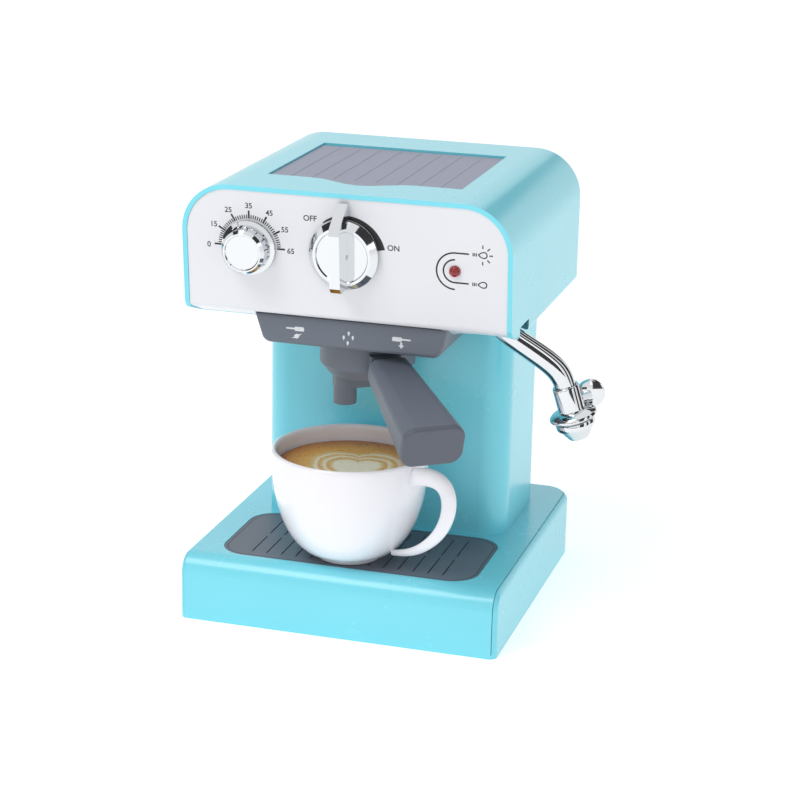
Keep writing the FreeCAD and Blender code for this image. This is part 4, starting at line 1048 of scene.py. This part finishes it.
# %% [markdown]
# The floor is a pale sheet, six metres wide, that gives off half its light. So it never turns grey
# far from the lamps, and it still takes the object's shadow as a darker white.

# %% Floor
WHITE = (1.0, 1.0, 1.0)
FLOOR_SIZE = 6.0
FLOOR_LIGHT = 0.5


def pale_floor():
    finish = Finish("pale_floor")
    finish.vary("Base Color", finish.mix(finish.noise(3.0, 2.0), shade(WHITE, 0.90), shade(WHITE, 0.93)))
    finish.fix(Roughness=0.9, Emission_Color=shade(WHITE, 1.0), Emission_Strength=FLOOR_LIGHT)
    return finish.material


bpy.ops.object.select_all(action="DESELECT")
bpy.ops.mesh.primitive_plane_add(size=FLOOR_SIZE)
floor = bpy.context.object
floor.name = "floor"
floor.data.materials.append(pale_floor())
floor.select_set(False)

# %% [markdown]
# The world is two plain whites. What the camera, a mirror or clear glass looks at directly is pure
# white, so the edge of the floor never shows. What lights the object is weaker, so that the pale
# pieces keep their colour.

# %% World
SKY = 0.54
world = bpy.data.worlds.new("studio")
bpy.context.scene.world = world
world.use_nodes = True
tree = world.node_tree


def white_light(node, strength):
    node.inputs["Color"].default_value = shade(WHITE, 1.0)
    node.inputs["Strength"].default_value = strength
    return node.outputs[0]


def largest(*sockets):
    """The largest of several numbers, by Maximum nodes in a row."""
    found = sockets[0]
    for socket in sockets[1:]:
        node = tree.nodes.new("ShaderNodeMath")
        node.operation = "MAXIMUM"
        tree.links.new(found, node.inputs[0])
        tree.links.new(socket, node.inputs[1])
        found = node.outputs[0]
    return found


lighting = white_light(tree.nodes["Background"], SKY)
seen = white_light(tree.nodes.new("ShaderNodeBackground"), 1.0)
rays = tree.nodes.new("ShaderNodeLightPath").outputs
straight = largest(rays["Is Camera Ray"], rays["Is Glossy Ray"], rays["Is Transmission Ray"])
choose = tree.nodes.new("ShaderNodeMixShader")
for socket, source in zip(choose.inputs, (straight, lighting, seen)):
    tree.links.new(source, socket)
tree.links.new(choose.outputs[0], tree.nodes["World Output"].inputs["Surface"])
print("sky", SKY)

# %% [markdown]
# Two large soft lamps: the key from the upper left of the camera and a weaker one from the right.
# Their places and sizes are in metres, and their powers in watts.

# %% Lamps
def soft_lamp(name, place, size, power):
    bpy.ops.object.light_add(type="AREA", location=place)
    lamp = bpy.context.object
    lamp.name = name
    lamp.data.size = size
    lamp.data.energy = power
    lamp.rotation_mode = "QUATERNION"
    lamp.rotation_quaternion = (TARGET - Vector(place)).to_track_quat("-Z", "Y")
    lamp.select_set(False)
    print(name, power, "W")


soft_lamp("key", (-0.55, -0.85, 1.45), 0.8, 9.5)
soft_lamp("fill", (1.0, -0.9, 0.6), 0.9, 1.2)

# %% [markdown]
# Chrome in white surroundings would be white all over. Studios hang black cards where a mirror
# can see them and the camera can't, which gives a mirror its dark edges. The sizes here are in
# metres: a row is the side that a card hangs on in degrees, its width, its height over the floor
# and how tall it is.

# %% Black cards
CLOTH_DARK, CLOTH_LIGHT = (0.012, 0.012, 0.014), (0.02, 0.02, 0.022)
CARD_AWAY = 1.25
CARDS = [(-120, 0.7, 0.5, 1.5), (-66, 0.6, 0.5, 1.5), (48, 0.55, 0.4, 1.5), (82, 0.30, 0.5, 1.5),
         (115, 0.6, 0.5, 1.5), (-58, 0.9, 1.15, 0.9), (42, 1.0, 1.15, 0.9), (160, 0.9, 1.0, 0.9)]


def card(name, place, width, tall):
    bpy.ops.mesh.primitive_plane_add(size=1.0)
    sheet = bpy.context.object
    sheet.name = name
    sheet.scale = (width, tall, 1)
    sheet.location = place
    sheet.rotation_mode = "QUATERNION"
    sheet.rotation_quaternion = (TARGET - Vector(place)).to_track_quat("Z", "Y")
    cloth = Finish(name + "_cloth")
    cloth.vary("Base Color", cloth.mix(cloth.noise(5.0), (*CLOTH_DARK, 1), (*CLOTH_LIGHT, 1)))
    sheet.data.materials.append(cloth.material)
    sheet.visible_camera = False
    sheet.visible_diffuse = False
    sheet.visible_shadow = False
    sheet.select_set(False)


for number, (azimuth, width, height, tall) in enumerate(CARDS):
    turn = math.radians(azimuth)
    card("card_%d" % number, (CARD_AWAY * math.sin(turn), -CARD_AWAY * math.cos(turn), height), width, tall)
card("card_low", (0.1, -1.15, 0.02), 0.9, 0.14)
print("cards", len(CARDS) + 1)

# %% [markdown]
# Last, the colours are shown as the shaders make them, through the standard view transform.

# %% View transform
bpy.context.scene.view_settings.view_transform = "Standard"
